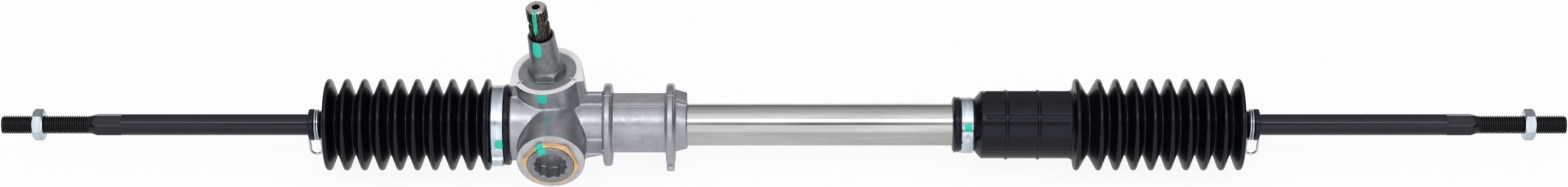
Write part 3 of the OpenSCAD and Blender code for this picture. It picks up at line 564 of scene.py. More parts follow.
def close_tree(graph: Graph, given: Any, out: Any, geometry: Any) -> None:
    """Ends a geometry tree in real meshes that carry the given material.

    Args:
        graph: The tree in the making.
        given: Its input node.
        out: Its output node.
        geometry: The geometry that it ends in.
    """
    real = graph.add("GeometryNodeRealizeInstances", {0: geometry}).outputs[0]
    dressed = graph.add("GeometryNodeSetMaterial", {
        "Geometry": real, "Material": given.outputs["Material"]})
    graph.feed(out.inputs[0], dressed.outputs[0])


def turning_tree() -> bpy.types.NodeTree:
    """Builds the tree that turns an outline about X.

    Points with an apothem in their "flats" attribute are cut to one hexagon, or to the union of two.
    With a lead, each turn shifts the outline along X, which makes a thread.

    Returns:
        The tree.
    """
    graph, given, out = tree_of("turned_outline", [
        ("Segments", "Int", 96), ("Lead", "Float", 0.0), ("Low", "Float", -10.0), ("High", "Float", 10.0),
        ("Phase", "Float", 0.0), ("Twelve Points", "Float", 0.0), ("Material", "Material", None)])
    outline = given.outputs["Geometry"]
    size = graph.add("GeometryNodeAttributeDomainSize", {0: outline}, component="MESH")
    count = size.outputs["Point Count"]
    columns = graph.math("ADD", given.outputs["Segments"], 1.0)
    grid = graph.add("GeometryNodeMeshGrid", {
        "Size X": 1.0, "Size Y": 1.0, "Vertices X": count, "Vertices Y": columns}).outputs[0]
    # The grid's X counts the points of the outline and its Y goes once round.
    place = graph.split(graph.add("GeometryNodeInputPosition").outputs[0])
    last = graph.math("SUBTRACT", count, 1.0)
    row = graph.math("ROUND", graph.math("MULTIPLY", graph.math("ADD", place[0], 0.5), last))
    turn = graph.math("MULTIPLY", graph.math("ADD", place[1], 0.5), TAU)
    point = graph.add("GeometryNodeSampleIndex", {
        0: outline, "Value": graph.add("GeometryNodeInputPosition").outputs[0], "Index": row},
        data_type="FLOAT_VECTOR").outputs[0]
    named = graph.add("GeometryNodeInputNamedAttribute", {"Name": "flats"}, data_type="FLOAT").outputs[0]
    flats = graph.add("GeometryNodeSampleIndex", {0: outline, "Value": named, "Index": row},
                      data_type="FLOAT").outputs[0]
    # A hexagon's edge lies at its apothem over the cosine of the angle from the middle of its flat.
    sixth, twelfth = TAU / 6, TAU / 12
    first = graph.math("COSINE", graph.math("SUBTRACT", graph.math("MODULO", turn, sixth), twelfth))
    shifted = graph.math("MODULO", graph.math("ADD", turn, twelfth), sixth)
    other = graph.math("COSINE", graph.math("SUBTRACT", shifted, twelfth))
    sharper = graph.math("MINIMUM", first, other)
    change = graph.math("MULTIPLY", graph.math("SUBTRACT", sharper, first), given.outputs["Twelve Points"])
    limit = graph.math("DIVIDE", flats, graph.math("ADD", first, change))
    free = graph.math("LESS_THAN", flats, WELD)
    x, radius, _ = graph.split(point)
    radius = graph.math("MINIMUM", radius, graph.math("ADD", limit, free))
    # A thread climbs by its lead in a turn, and its ends stay flat.
    lead = graph.math("MULTIPLY", given.outputs["Lead"], graph.math("DIVIDE", turn, TAU))
    x = graph.math("MAXIMUM", graph.math("ADD", x, lead), given.outputs["Low"])
    x = graph.math("MINIMUM", x, given.outputs["High"])
    angle = graph.math("ADD", turn, given.outputs["Phase"])
    y = graph.math("MULTIPLY", graph.math("MULTIPLY", graph.math("COSINE", angle), -1.0), radius)
    z = graph.math("MULTIPLY", graph.math("SINE", angle), radius)
    placed = graph.add("GeometryNodeSetPosition", {0: grid, "Position": graph.join(x, y, z)}).outputs[0]
    merged = graph.add("GeometryNodeMergeByDistance", {0: placed, "Distance": WELD}).outputs[0]
    close_tree(graph, given, out, merged)
    return graph.tree


def repeating_tree() -> bpy.types.NodeTree:
    """Builds the tree that repeats a shape by a step along a line and a turn about X.

    Returns:
        The tree.
    """
    graph, given, out = tree_of("repeated_shape", [
        ("Count", "Int", 8), ("Step", "Vector", (0, 0, 0)), ("Turn", "Float", 0.0),
        ("Material", "Material", None)])
    line = graph.add("GeometryNodeMeshLine", {
        "Count": given.outputs["Count"], "Offset": given.outputs["Step"]}, mode="OFFSET").outputs[0]
    index = graph.add("GeometryNodeInputIndex").outputs[0]
    turn = graph.math("MULTIPLY", index, given.outputs["Turn"])
    copies = graph.add("GeometryNodeInstanceOnPoints", {
        "Points": line, "Instance": given.outputs["Geometry"], "Rotation": graph.join(turn, 0.0, 0.0)})
    close_tree(graph, given, out, copies.outputs[0])
    return graph.tree


def wire_tree() -> bpy.types.NodeTree:
    """Builds the tree that sweeps a round wire along a line of points.

    Returns:
        The tree.
    """
    graph, given, out = tree_of("swept_wire", [
        ("Radius", "Float", 0.5 * MM), ("Sides", "Int", 14), ("Material", "Material", None)])
    path = graph.add("GeometryNodeMeshToCurve", {0: given.outputs["Geometry"]}).outputs[0]
    section = graph.add("GeometryNodeCurvePrimitiveCircle", {
        "Resolution": given.outputs["Sides"], "Radius": given.outputs["Radius"]}).outputs[0]
    tube = graph.add("GeometryNodeCurveToMesh", {
        "Curve": path, "Profile Curve": section, "Fill Caps": True}).outputs[0]
    close_tree(graph, given, out, tube)
    return graph.tree


class Workshop:
    """Makes meshes with the geometry trees and turns them into finished pieces."""

    CREASE = math.radians(32)

    def __init__(self) -> None:
        """Builds the three trees."""
        self.turning, self.repeating, self.wire = turning_tree(), repeating_tree(), wire_tree()

    def line_mesh(self, points: Iterable[Sequence[float]], flats: Sequence[float] = ()) -> bpy.types.Mesh:
        """Makes a mesh of points joined in a row.

        Args:
            points: Places of the points.
            flats: Apothem of the hexagon that cuts each point, or nought.
        Returns:
            The mesh.
        """
        places = [(*point, 0.0)[:3] for point in points]
        mesh = bpy.data.meshes.new("line")
        mesh.from_pydata(places, [(i, i + 1) for i in range(len(places) - 1)], [])
        values = list(flats) or [0.0] * len(places)
        mesh.attributes.new("flats", "FLOAT", "POINT").data.foreach_set("value", values)
        return mesh

    def run(self, tree: bpy.types.NodeTree, mesh: bpy.types.Mesh, inputs: dict[str, Any]) -> bpy.types.Mesh:
        """Runs a geometry tree on a mesh.

        Args:
            tree: The tree.
            mesh: Its geometry, which is removed.
            inputs: Values of the tree's named inputs.
        Returns:
            The new mesh.
        """
        carrier = bpy.data.objects.new("carrier", mesh)
        bpy.context.scene.collection.objects.link(carrier)
        modifier = carrier.modifiers.new("tree", "NODES")
        modifier.node_group = tree
        for item in tree.interface.items_tree:
            if item.in_out == "INPUT" and item.name in inputs:
                modifier[item.identifier] = inputs[item.name]
        graph = bpy.context.evaluated_depsgraph_get()
        made = bpy.data.meshes.new_from_object(carrier.evaluated_get(graph), depsgraph=graph)
        bpy.data.objects.remove(carrier)
        bpy.data.meshes.remove(mesh)
        return made

    def turned(self, corners: Sequence[Corner], finish: Finish, axis: Axis = Axis.RACK,
               segments: int = 96, closed: bool = True, **inputs: float) -> bpy.types.Mesh:
        """Turns an outline about an axis.

        Args:
            corners: Place on the axis, radius, rounding and apothem of each corner; the last two may lack.
            finish: Its finish.
            axis: The line about which it is turned.
            segments: Steps in a turn.
            closed: Whether the outline closes on itself.
            inputs: Further inputs of the turning tree, with spaces as underscores.
        Returns:
            The mesh, in its place.
        """
        points, flats = rounded(corners)
        if closed:
            points.append(points[0])
            flats.append(flats[0])
        values = {key.replace("_", " ").title(): value for key, value in inputs.items()}
        values.update({"Segments": segments, "Material": finish.make()})
        made = self.run(self.turning, self.line_mesh(points, flats), values)
        made.transform(axis.matrix)
        return made

    def repeated(self, mesh: bpy.types.Mesh, count: int, finish: Finish,
                 step: Sequence[float] = (0, 0, 0), turn: float = 0.0) -> bpy.types.Mesh:
        """Repeats a mesh by a step and a turn about X.

        Args:
            mesh: The shape, which is removed.
            count: How many there are in the end.
            finish: Their finish.
            step: Shift from one to the next.
            turn: Turn from one to the next.
        Returns:
            The mesh of all copies.
        """
        values = {"Count": count, "Step": tuple(step), "Turn": turn, "Material": finish.make()}
        return self.run(self.repeating, mesh, values)

    def swept(self, points: Iterable[Sequence[float]], radius: float, finish: Finish) -> bpy.types.Mesh:
        """Sweeps a round wire along points."""
        return self.run(self.wire, self.line_mesh(points), {"Radius": radius, "Material": finish.make()})

    def piece(self, name: str, meshes: Sequence[bpy.types.Mesh], crease: float = CREASE) -> bpy.types.Object:
        """Joins meshes into one piece with outward faces.

        Args:
            name: Name of the piece.
            meshes: Its parts, which are removed.
            crease: Angle above which an edge stays sharp.
        Returns:
            The object, at the origin.
        """
        joined = bmesh.new()
        slots: list[bpy.types.Material] = []
        for mesh in meshes:
            first = len(joined.faces)
            joined.from_mesh(mesh)
            joined.faces.ensure_lookup_table()
            for material in mesh.materials:
                if material not in slots:
                    slots.append(material)
            for face in joined.faces[first:]:
                if mesh.materials:
                    face.material_index = slots.index(mesh.materials[face.material_index])
            bpy.data.meshes.remove(mesh)
        bmesh.ops.remove_doubles(joined, verts=joined.verts, dist=WELD)
        bmesh.ops.dissolve_degenerate(joined, edges=joined.edges, dist=WELD / 10)
        bmesh.ops.recalc_face_normals(joined, faces=joined.faces)
        whole = plain_mesh(joined, name)
        for material in slots:
            whole.materials.append(material)
        return self.dress(bpy.data.objects.new(name, whole), crease)

    def dress(self, piece: bpy.types.Object, crease: float = CREASE) -> bpy.types.Object:
        """Smooths a piece's faces, keeps its sharp edges and puts it into the scene.

        Args:
            piece: The object.
            crease: Angle above which an edge stays sharp.
        Returns:
            The piece.
        """
        piece.data.polygons.foreach_set("use_smooth", [True] * len(piece.data.polygons))
        piece.data.set_sharp_from_angle(angle=crease)
        if piece.name not in bpy.context.scene.collection.objects:
            bpy.context.scene.collection.objects.link(piece)
        log.info("piece %s: %d faces", piece.name, len(piece.data.polygons))
        return piece


def rounded(corners: Sequence[Corner], steps: int = 4) -> tuple[list[tuple[float, float]], list[float]]:
    """Rounds the corners of an outline.

    Args:
        corners: Place, radius, rounding and apothem of each corner; the last two may lack.
        steps: Chords in each rounding.
    Returns:
        The points, and the apothem that cuts each.
    """
    full = [(*corner, 0.0, 0.0)[:4] for corner in corners]
    points: list[tuple[float, float]] = []
    flats: list[float] = []
    for i, (x, radius, rounding, apothem) in enumerate(full):
        if rounding <= 0 or i in (0, len(full) - 1):
            points.append((x, radius))
            flats.append(apothem)
            continue
        here = Vector((x, radius))
        before, after = Vector(full[i - 1][:2]) - here, Vector(full[i + 1][:2]) - here
        reach = rounding / max(math.tan(before.angle(after) / 2), 1e-3)
        reach = min(reach, 0.49 * before.length, 0.49 * after.length)
        start, end = here + before.normalized() * reach, here + after.normalized() * reach
        for k in range(steps + 1):
            t = k / steps
            point = start * (1 - t) ** 2 + here * (2 * t * (1 - t)) + end * t ** 2
            points.append((point.x, point.y))
            flats.append(apothem)
    return points, flats


def arc(x: float, middle: float, radius: float, start: float, end: float, steps: int) -> list[Corner]:
    """Makes the points of a round stretch of an outline.

    Args:
        x: Place of its centre along the axis.
        middle: Distance of its centre from the axis.
        radius: Its own radius.
        start: Angle of its first point, from the axis.
        end: Angle of its last point.
        steps: Chords in it.
    Returns:
        The points.
    """
    angles = [start + (end - start) * k / steps for k in range(steps + 1)]
    return [(x + radius * math.cos(a), middle + radius * math.sin(a)) for a in angles]


def cylinder(start: float, end: float, radius: float) -> list[Corner]:
    """The outline of a plain cylinder between two places on its axis."""
    return [(start, 0.0), (start, radius), (end, radius), (end, 0.0)]


def plain_mesh(shape: bmesh.types.BMesh, name: str) -> bpy.types.Mesh:
    """Turns a shape in the making into a mesh.

    Args:
        shape: The shape, which is freed.
        name: Name of the mesh.
    Returns:
        The mesh.
    """
    mesh = bpy.data.meshes.new(name)
    shape.to_mesh(mesh)
    shape.free()
    return mesh


def face_outwards(piece: bpy.types.Object, number: int) -> None:
    """Turns an open surface over if one of its faces looks towards the rack.

    Args:
        piece: The piece round the rack.
        number: Number of the face that is asked.
    """
    face = piece.data.polygons[number]
    if Vector((0, *face.center[1:])).dot(face.normal) < 0:
        piece.data.flip_normals()


def solid(piece: bpy.types.Object, wall: float) -> None:
    """Gives an open surface an even wall inwards and applies it.

    Args:
        piece: The surface.
        wall: Thickness of the wall.
    """
    modifier = piece.modifiers.new("wall", "SOLIDIFY")
    modifier.thickness, modifier.offset, modifier.use_even_offset = wall, -1.0, True
    apply_modifiers(piece)


def apply_modifiers(piece: bpy.types.Object) -> None:
    """Turns a piece's modifiers into its plain mesh.

    Args:
        piece: The piece.
    """
    graph = bpy.context.evaluated_depsgraph_get()
    made = bpy.data.meshes.new_from_object(piece.evaluated_get(graph), depsgraph=graph)
    old = piece.data
    piece.modifiers.clear()
    piece.data = made
    bpy.data.meshes.remove(old)


@dataclass(frozen=True)
class Palette:
    """Every finish of the gear."""

    cast: Finish = CastFinish(
        "die_cast_skin", "b0b2b8", "a3a5ac", metallic=0.85, roughness=0.3, spread=0.06, blotch=9 * MM,
        grain=0.5 * MM, depth=0.05 * MM,
        marks=(PaintMark(centre=(-62.2 * MM, -9.8 * MM, 32 * MM), half=(3.1 * MM, 3 * MM, 4.6 * MM)),))
    machined: Finish = TurnedFinish(
        "machined_ring", "fbfbfc", "f4f4f5", metallic=0.2, roughness=0.34, spread=0.04, blotch=9 * MM,
        grain=0.3 * MM, depth=0.006 * MM)
    boss_face: Finish = TurnedFinish(
        "machined_boss", "cfd0d4", "bcbdc2", metallic=0.5, roughness=0.36, spread=0.06, blotch=9 * MM,
        grain=0.3 * MM, depth=0.008 * MM, axis=Axis.YOKE)
    disc: Finish = TurnedFinish(
        "cover_disc", "9c9fa3", "8d9195", metallic=0.6, roughness=0.34, spread=0.06, blotch=6 * MM,
        grain=0.4 * MM, depth=0.012 * MM)
    cover: Finish = CastFinish(
        "cover_casting", "8f9396", "777b7f", metallic=0.8, roughness=0.38, spread=0.06, blotch=5 * MM,
        grain=0.35 * MM, depth=0.03 * MM,
        marks=(PaintMark(centre=(-65 * MM, 5 * MM, 60.6 * MM), half=(2.9 * MM, 6 * MM, 5.8 * MM)),))
    tube: Finish = DrawnFinish(
        "drawn_tube", "c0c1c0", "b2b4b1", metallic=1.0, roughness=0.16, spread=0.03, blotch=9 * MM,
        grain=0.3 * MM, depth=0.004 * MM, stretch=(9.0, 1.0, 1.0))
    ground: Finish = DrawnFinish(
        "ground_steel", "b8b8b6", "a4a4a2", metallic=1.0, roughness=0.28, spread=0.05, blotch=5 * MM,
        grain=0.3 * MM, depth=0.004 * MM)
    oiled: Finish = OiledSpline(
        "oiled_pinion", "6a5f57", "3a342f", metallic=0.9, roughness=0.32, spread=0.1, blotch=2.5 * MM,
        grain=0.4 * MM, depth=0.03 * MM,
        marks=(PaintMark(centre=(-65.4 * MM, 7 * MM, 82 * MM), half=(1.3 * MM, 4 * MM, 10.5 * MM)),),
        bright_from=89.7 * MM, base=tuple(JOINTS["pinion_turn"]["pos_m"]),
        up=tuple(JOINTS["pinion_turn"]["axis"]))
    dark: Finish = Finish(
        "dark_steel", "3f3d3b", "2c2a29", metallic=0.9, roughness=0.4, blotch=4 * MM, grain=0.4 * MM)
    black: Finish = Finish(
        "black_coated_steel", "090a0e", "101116", metallic=0.0, roughness=0.13, spread=0.03, blotch=11 * MM,
        grain=0.35 * MM, depth=0.006 * MM, gloss=0.45, tint="e6ebfb")
    black_thread: Finish = Finish(
        "black_oiled_thread", "08080a", "17181c", metallic=0.0, roughness=0.34, blotch=1.5 * MM,
        grain=0.3 * MM, depth=0.015 * MM, gloss=0.28)
    zinc: Finish = DrawnFinish(
        "blue_zinc", "d6dfe6", "bdcad4", metallic=1.0, roughness=0.24, spread=0.07, blotch=5 * MM,
        grain=0.3 * MM, depth=0.006 * MM, stretch=(1.0, 4.0, 4.0), marks=(
            PaintMark(centre=(-90.6 * MM, -25.6 * MM, 5.6 * MM), half=(3.1 * MM, 4 * MM, 3.2 * MM)),
            PaintMark(centre=(215.9 * MM, -14.4 * MM, 10.9 * MM), half=(2.6 * MM, 4 * MM, 2.7 * MM),
                      squareness=2.0)))
    yellow: Finish = Finish(
        "yellow_zinc", "f2cd97", "e9bd80", metallic=0.5, roughness=0.34, spread=0.06, blotch=5 * MM,
        grain=0.4 * MM, depth=0.01 * MM,
        marks=(PaintMark(centre=(-63.5 * MM, -39.2 * MM, 15.6 * MM), half=(2.6 * MM, 3 * MM, 2.6 * MM)),))
    plug: Finish = CastFinish(
        "plug_metal", "94979c", "83868b", metallic=0.75, roughness=0.3, spread=0.06, blotch=4 * MM,
        grain=0.4 * MM,
        marks=(PaintMark(centre=(-61.6 * MM, -40 * MM, 12.2 * MM), half=(2.7 * MM, 2.4 * MM, 2.9 * MM)),))
    rubber: Finish = RubberFinish(
        "boot_rubber", "05060a", "090b11", metallic=0.0, roughness=0.25, spread=0.05, blotch=16 * MM,
        grain=0.6 * MM, depth=0.012 * MM, gloss=0.34, tint="dee5fa", seam_angle=math.radians(68))
    seal: Finish = RubberFinish(
        "seal_rubber", "17181a", "202123", metallic=0.0, roughness=0.5, spread=0.06)
    plastic: Finish = Finish(
        "bearing_plastic", "e4e2d6", "d9d7ca", metallic=0.0, roughness=0.4, spread=0.05, blotch=8 * MM,
        depth=0.008 * MM)
    bronze: Finish = Finish(
        "sintered_bronze", "a98a58", "8f7345", metallic=0.9, roughness=0.42, spread=0.06, blotch=3 * MM,
        grain=0.3 * MM)


@dataclass
class SubAssembly:
    """What every sub-assembly holds: the workshop that makes its meshes, and the finishes."""

    shop: Workshop
    palette: Palette

    def stand_in(self, piece: bpy.types.Object, body: str, node: str, slot: str) -> None:
        """Puts a piece on a body in place of a CAD node.

        Args:
            piece: The finished piece.
            body: The body that it rides on.
            node: The CAD node that it replaces.
            slot: Its material slot; not used.
        """
        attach(piece, body)
        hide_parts(node)


@dataclass
class SidedSubAssembly(SubAssembly):
    """A sub-assembly that the gear has at each end of the rack."""

    side: Side


@dataclass
class InnerWorks(SubAssembly):
    """The CAD pieces that keep their own shape: they only get their finishes."""

    def dress(self) -> None:
        """Puts a finish on every CAD node."""
        finishes = {
            "cast_aluminium": self.palette.cast, "cover_casting": self.palette.cover,
            "tube_steel": self.palette.tube, "ground_steel": self.palette.ground,
            "dark_steel": self.palette.dark, "black_steel": self.palette.black,
            "blue_zinc": self.palette.zinc, "yellow_zinc": self.palette.yellow,
            "plug_metal": self.palette.plug, "boot_rubber": self.palette.rubber,
            "seal_rubber": self.palette.seal, "white_plastic": self.palette.plastic,
            "bronze": self.palette.bronze}
        for subpart in frame["record"]["subparts"]:
            node = frame["nodes"][subpart["node"]]
            oiled = subpart["node"] == "pinion"
            finish = self.palette.oiled if oiled else finishes[subpart["material_slot"]]
            node.data.materials.clear()
            node.data.materials.append(finish.make())
            log.info("node %s: %s", subpart["node"], finish.name)


@dataclass
class Boot(SidedSubAssembly):
    """A rubber bellows boot, in three pieces that meet in its valleys.

    Reaches are measured from the boot's fixed end towards its small end. The corners of the fixed end are
    each a reach, a radius and a rounding.
    """

    fixed_end: tuple[Corner, ...] = (
        (0.0, 22.7 * MM), (0.0, 25.4 * MM, 0.3 * MM), (0.6 * MM, 26.6 * MM, 0.5 * MM),
        (3.3 * MM, 26.6 * MM, 0.5 * MM), (3.9 * MM, 25.2 * MM, 0.3 * MM), (12.6 * MM, 25.2 * MM, 1 * MM))
    folds: int = 10
    crest_r: float = 30.2 * MM
    valley_r: float = 20.4 * MM
    crest_round: float = 1.7 * MM
    valley_round: float = 1.0 * MM
    crest_steps: int = 8
    valley_steps: int = 6
    wall: float = 1.5 * MM
    first_crest: float = 15.3 * MM
    first_pitch: float = 0.0
    last_crest_gap: float = 13.5 * MM
    cuff_r: float = 8.85 * MM
    lip_r: float = 10.4 * MM
    cuff_l: float = 8 * MM
    lip_l: float = 3.6 * MM
    foot: tuple[float, float] = (1.2 * MM, 2.6 * MM)
    bore_r: float = 7.1 * MM
    segments: int = 112
    near_cut: float = 0.4 * MM
    crease: float = math.radians(50)

    @property
    def node(self) -> str:
        """The CAD node that the pieces stand for."""
        return f"{self.side.value}_boot"

    def at(self, reach: float) -> float:
        """The X at a reach from the fixed end."""
        low, high = extent(self.node)
        return low.x + reach if self.side is Side.RIGHT else high.x - reach

    @property
    def length(self) -> float:
        """The boot's whole length."""
        low, high = extent(self.node)
        return high.x - low.x

    @property
    def lead(self) -> float:
        """The distance between the first two crests."""
        even = (self.length - self.last_crest_gap - self.first_crest) / (self.folds - 1)
        return self.first_pitch or even

    @property
    def pitch(self) -> float:
        """The distance between two later crests."""
        return (self.length - self.last_crest_gap - self.first_crest - self.lead) / (self.folds - 2)

    def valley(self, number: int) -> float:
        """The reach of the valley after a crest past the first, with the crests counted from one."""
        return self.first_crest + self.lead + self.pitch * (number - 1.5)

    def head(self) -> list[Corner]:
        """The corners of the fixed end, up to the first crest."""
        return list(self.fixed_end)

    def flank_angle(self, pitch: float) -> float:
        """The angle at which a crest's arc runs into its straight flank, from the boot's axis.

        Args:
            pitch: Distance between the two crests.
        Returns:
            The angle.
        """
        across = pitch / 2
        drop = self.crest_r - self.crest_round - self.valley_r - self.valley_round
        span = math.hypot(across, drop)
        return math.acos((self.crest_round + self.valley_round) / span) - math.atan2(drop, across)

    def crest(self, place: float, angle: float) -> list[Corner]:
        """The round of the crest at a place, between flanks at an angle."""
        middle = self.crest_r - self.crest_round
        return arc(place, middle, self.crest_round, math.pi - angle, angle, self.crest_steps)

    def fold(self, pitch: float) -> list[Corner]:
        """The round of a crest at nought and of the valley that follows it.

        Args:
            pitch: Distance to the next crest.
        Returns:
            The corners.
        """
        angle, middle = self.flank_angle(pitch), self.valley_r + self.valley_round
        valley = arc(pitch / 2, middle, self.valley_round, math.pi + angle, TAU - angle, self.valley_steps)
        return [*self.crest(0.0, angle), *valley]

    def tail(self) -> list[Corner]:
        """The corners from the last crest to the small end.

        Returns:
            The corners.
        """
        end = self.length
        foot_l, foot_h = self.foot
        return [
            *self.crest(end - self.last_crest_gap, self.flank_angle(self.pitch)),
            (end - self.cuff_l - foot_l, self.cuff_r + foot_h, 2 * MM),
            (end - self.cuff_l + 0.2 * MM, self.cuff_r, 0.8 * MM), (end - self.lip_l, self.cuff_r, 0.2 * MM),
            (end - self.lip_l + 0.1 * MM, self.lip_r, 0.5 * MM), (end - 0.2 * MM, self.lip_r, 0.8 * MM),
            (end, self.bore_r)]

    def outline(self) -> list[Corner]:
        """Joins the fixed end, the folds and the small end.

        Returns:
            The corners of the outside.
        """
        first = [(self.first_crest + x, r) for x, r in self.fold(self.lead)]
        fold = self.shop.line_mesh(self.fold(self.pitch))
        folds = self.shop.repeated(fold, self.folds - 2, self.palette.rubber, (self.pitch, 0, 0))
        start = self.first_crest + self.lead
        later = [(vertex.co.x + start, vertex.co.y) for vertex in folds.vertices]
        bpy.data.meshes.remove(folds)
        head, _ = rounded([*self.head(), first[0]])
        tail, _ = rounded(self.tail())
        return [*head[:-1], *first, *later, *tail]

    def shell(self) -> bpy.types.Object:
        """Turns the outline and gives it its wall.

        Returns:
            The whole boot.
        """
        corners = [(self.at(point[0]), point[1]) for point in self.outline()]
        mesh = self.shop.turned(corners, self.palette.rubber, segments=self.segments, closed=False)
        piece = self.shop.piece(f"{self.node}_whole", [mesh])
        face_outwards(piece, len(piece.data.polygons) // 2)
        solid(piece, self.wall)
        return piece

    def part(self, whole: bpy.types.Object, name: str, start: float, end: float) -> bpy.types.Object:
        """Cuts the stretch between two valleys out of the shell and closes its cut walls.

        Args:
            whole: The whole boot.
            name: Last word of the piece's name.
            start: Reach of the cut nearer the fixed end.
            end: Reach of the other cut.
        Returns:
            The piece.
        """
        low, high = sorted((self.at(start), self.at(end)))
        cut = bmesh.new()
        cut.from_mesh(whole.data)
        outside = [f for f in cut.faces if not low < f.calc_center_median().x < high]
        bmesh.ops.delete(cut, geom=outside, context="FACES")
        rims = [e for e in cut.edges if e.is_boundary]
        for plane in (low, high):
            loops = [e for e in rims if all(abs(v.co.x - plane) < self.near_cut for v in e.verts)]
            if loops:
                bmesh.ops.bridge_loops(cut, edges=loops)
        bmesh.ops.recalc_face_normals(cut, faces=cut.faces)
        mesh = plain_mesh(cut, f"{self.node}_{name}")
        mesh.materials.clear()
        mesh.materials.append(self.palette.rubber.make())
        return self.shop.dress(bpy.data.objects.new(mesh.name, mesh), self.crease)

    def bend(self, piece: bpy.types.Object, bodies: tuple[str, str], start: float, end: float) -> None:
        """Bakes a piece's place into its mesh and hides the CAD boot; it blends nothing.

        Args:
            piece: The piece.
            bodies: The body at its start and the body at its end; not used.
            start: Reach where it begins to follow the second; not used.
            end: Reach from which it follows the second; not used.
        """
        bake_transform(piece)
        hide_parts(self.node)

    def build(self) -> None:
        """Builds the three pieces and bakes each in place."""
        whole = self.shell()
        seat, rod = f"{self.side.value}_ball_seat", f"{self.side.value}_tie_rod"
        cuts = [-1.0, self.valley(self.folds - 2), self.valley(self.folds - 1), 2 * self.length]
        parts = [self.part(whole, name, cuts[i], cuts[i + 1])
                 for i, name in enumerate(("folds", "bend", "small_end"))]
        bpy.data.objects.remove(whole)
        self.bend(parts[0], ("housing", "rack"), self.first_crest - 2 * MM, cuts[1])
        self.bend(parts[1], ("rack", seat), cuts[1], cuts[2])
        self.bend(parts[2], (seat, rod), cuts[2], self.length - self.cuff_l)


@dataclass
class SleevedBoot(Boot):
    """The right boot, whose fixed end is a long ribbed sleeve on the rack tube."""

    fixed_end: tuple[Corner, ...] = (
        (0.0, 13.95 * MM), (0.0, 16.6 * MM, 0.6 * MM), (0.9 * MM, 18.1 * MM, 0.8 * MM),
        (3.9 * MM, 17.9 * MM, 0.6 * MM))
    first_crest: float = 81.6 * MM
    first_pitch: float = 14.6 * MM
    cuff_start: float = 4.9 * MM
    cuff_outer_r: float = 17.2 * MM
    cone_start: float = 14.4 * MM
    sleeve_r: float = 22.15 * MM
    sleeve_start: float = 18.8 * MM
    flare: float = 4 * MM
    flare_gap: float = 2.4 * MM
    rib_h: float = 0.9 * MM
    rib_r: float = 1.75 * MM
    ring_r: float = 1.25 * MM
    rib_round: float = 1.2 * MM
    rib_count: int = 6
    rod_segments: int = 16
    rib_turn: float = math.radians(5)
    rib_start: float = 21.4 * MM
    rib_end_gap: float = 4.5 * MM
    ring_reaches: tuple[float, float] = (35.2 * MM, 56.2 * MM)
    seam_angle: float = math.radians(86)
    seam_r: float = 0.3 * MM
    seam_rise: float = 0.1 * MM
    seam_start: float = 5.4 * MM
    seam_end_gap: float = 6 * MM
    flash_r: float = 0.55 * MM
    flash_waves: tuple[float, float] = (0.34 * MM, 0.14 * MM)
    flash_reaches: tuple[float, float] = (1.5 * MM, 4.3 * MM)
    flash_radii: tuple[float, float] = (17.9 * MM, 17.8 * MM)
    flash_phases: tuple[float, float] = (0.0, 2.0)
    flash_beats: tuple[int, ...] = (3, 7, 12, 19, 31)
    flash_lift: float = 0.6
    flash_steps: int = 150

    def head(self) -> list[Corner]:
        """The corners of cuff and sleeve, up to the first crest.

        Returns:
            The corners.
        """
        return [
            *self.fixed_end, (self.cuff_start, self.cuff_outer_r, 0.4 * MM),
            (self.cone_start, self.cuff_outer_r, 1.2 * MM), (self.sleeve_start, self.sleeve_r, 1.2 * MM),
            (self.first_crest - self.flare_gap, self.sleeve_r, self.flare)]

    def ribs(self) -> bpy.types.Mesh:
        """Makes the lengthwise ribs, as rods that are sunk into the sleeve.

        Returns:
            The mesh of all of them.
        """
        start = self.at(self.rib_start)
        end = self.at(self.first_crest - self.rib_end_gap)
        rod = self.shop.turned(
            [(start, 0.0), (start, self.rib_r, self.rib_round), (end, self.rib_r, 0.2 * MM), (end, 0.0)],
            self.palette.rubber, segments=self.rod_segments, closed=False)
        sunk = Matrix.Translation((0, self.rib_r - self.rib_h - self.sleeve_r, 0))
        rod.transform(Matrix.Rotation(self.rib_turn, 4, "X") @ sunk)
        return self.shop.repeated(rod, self.rib_count, self.palette.rubber, turn=TAU / self.rib_count)

    def rings(self) -> list[bpy.types.Mesh]:
        """Makes the rings round the sleeve.

        Returns:
            The mesh of each.
        """
        middle = self.sleeve_r + self.rib_h - self.ring_r
        rounds = [arc(self.at(reach), middle, self.ring_r, 0.0, TAU, self.rod_segments)
                  for reach in self.ring_reaches]
        return [self.shop.turned(points, self.palette.rubber, segments=self.segments, closed=False)
                for points in rounds]

    def seam(self) -> bpy.types.Mesh:
        """Makes the thin line that the mould's halves leave along cuff and sleeve.

        Returns:
            Its mesh.
        """
        route = [(self.seam_start, self.cuff_outer_r), (self.cone_start, self.cuff_outer_r),
                 (self.sleeve_start, self.sleeve_r), (self.first_crest - self.seam_end_gap, self.sleeve_r)]
        outward = (-math.cos(self.seam_angle), math.sin(self.seam_angle))
        points = [(self.at(reach), *((r + self.seam_rise) * part for part in outward)) for reach, r in route]
        return self.shop.swept(points, self.seam_r, self.palette.rubber)

    def flash(self) -> list[bpy.types.Mesh]:
        """Makes the ragged edges that the mould leaves on both sides of the end bead.

        Returns:
            The mesh of each.
        """
        closing = 3
        edges = []
        for reach, r, wave, phase in zip(self.flash_reaches, self.flash_radii, self.flash_waves,
                                         self.flash_phases):
            points = []
            for k in range(self.flash_steps + closing):
                angle = TAU * k / self.flash_steps
                ragged = sum(math.sin(n * angle + phase * n) / n ** 0.5 for n in self.flash_beats)
                radius = r + self.flash_lift * wave * ragged
                x = self.at(reach + wave * ragged)
                points.append((x, -radius * math.cos(angle), radius * math.sin(angle)))
            edges.append(self.shop.swept(points, self.flash_r, self.palette.rubber))
        return edges

    def build(self) -> None:
        """Builds the bellows, then what stands on its sleeve."""
        super().build()
        parts = [self.ribs(), *self.rings(), self.seam(), *self.flash()]
        piece = self.shop.piece("right_boot_ribs", parts)
        self.stand_in(piece, "housing", self.node, "boot_rubber")


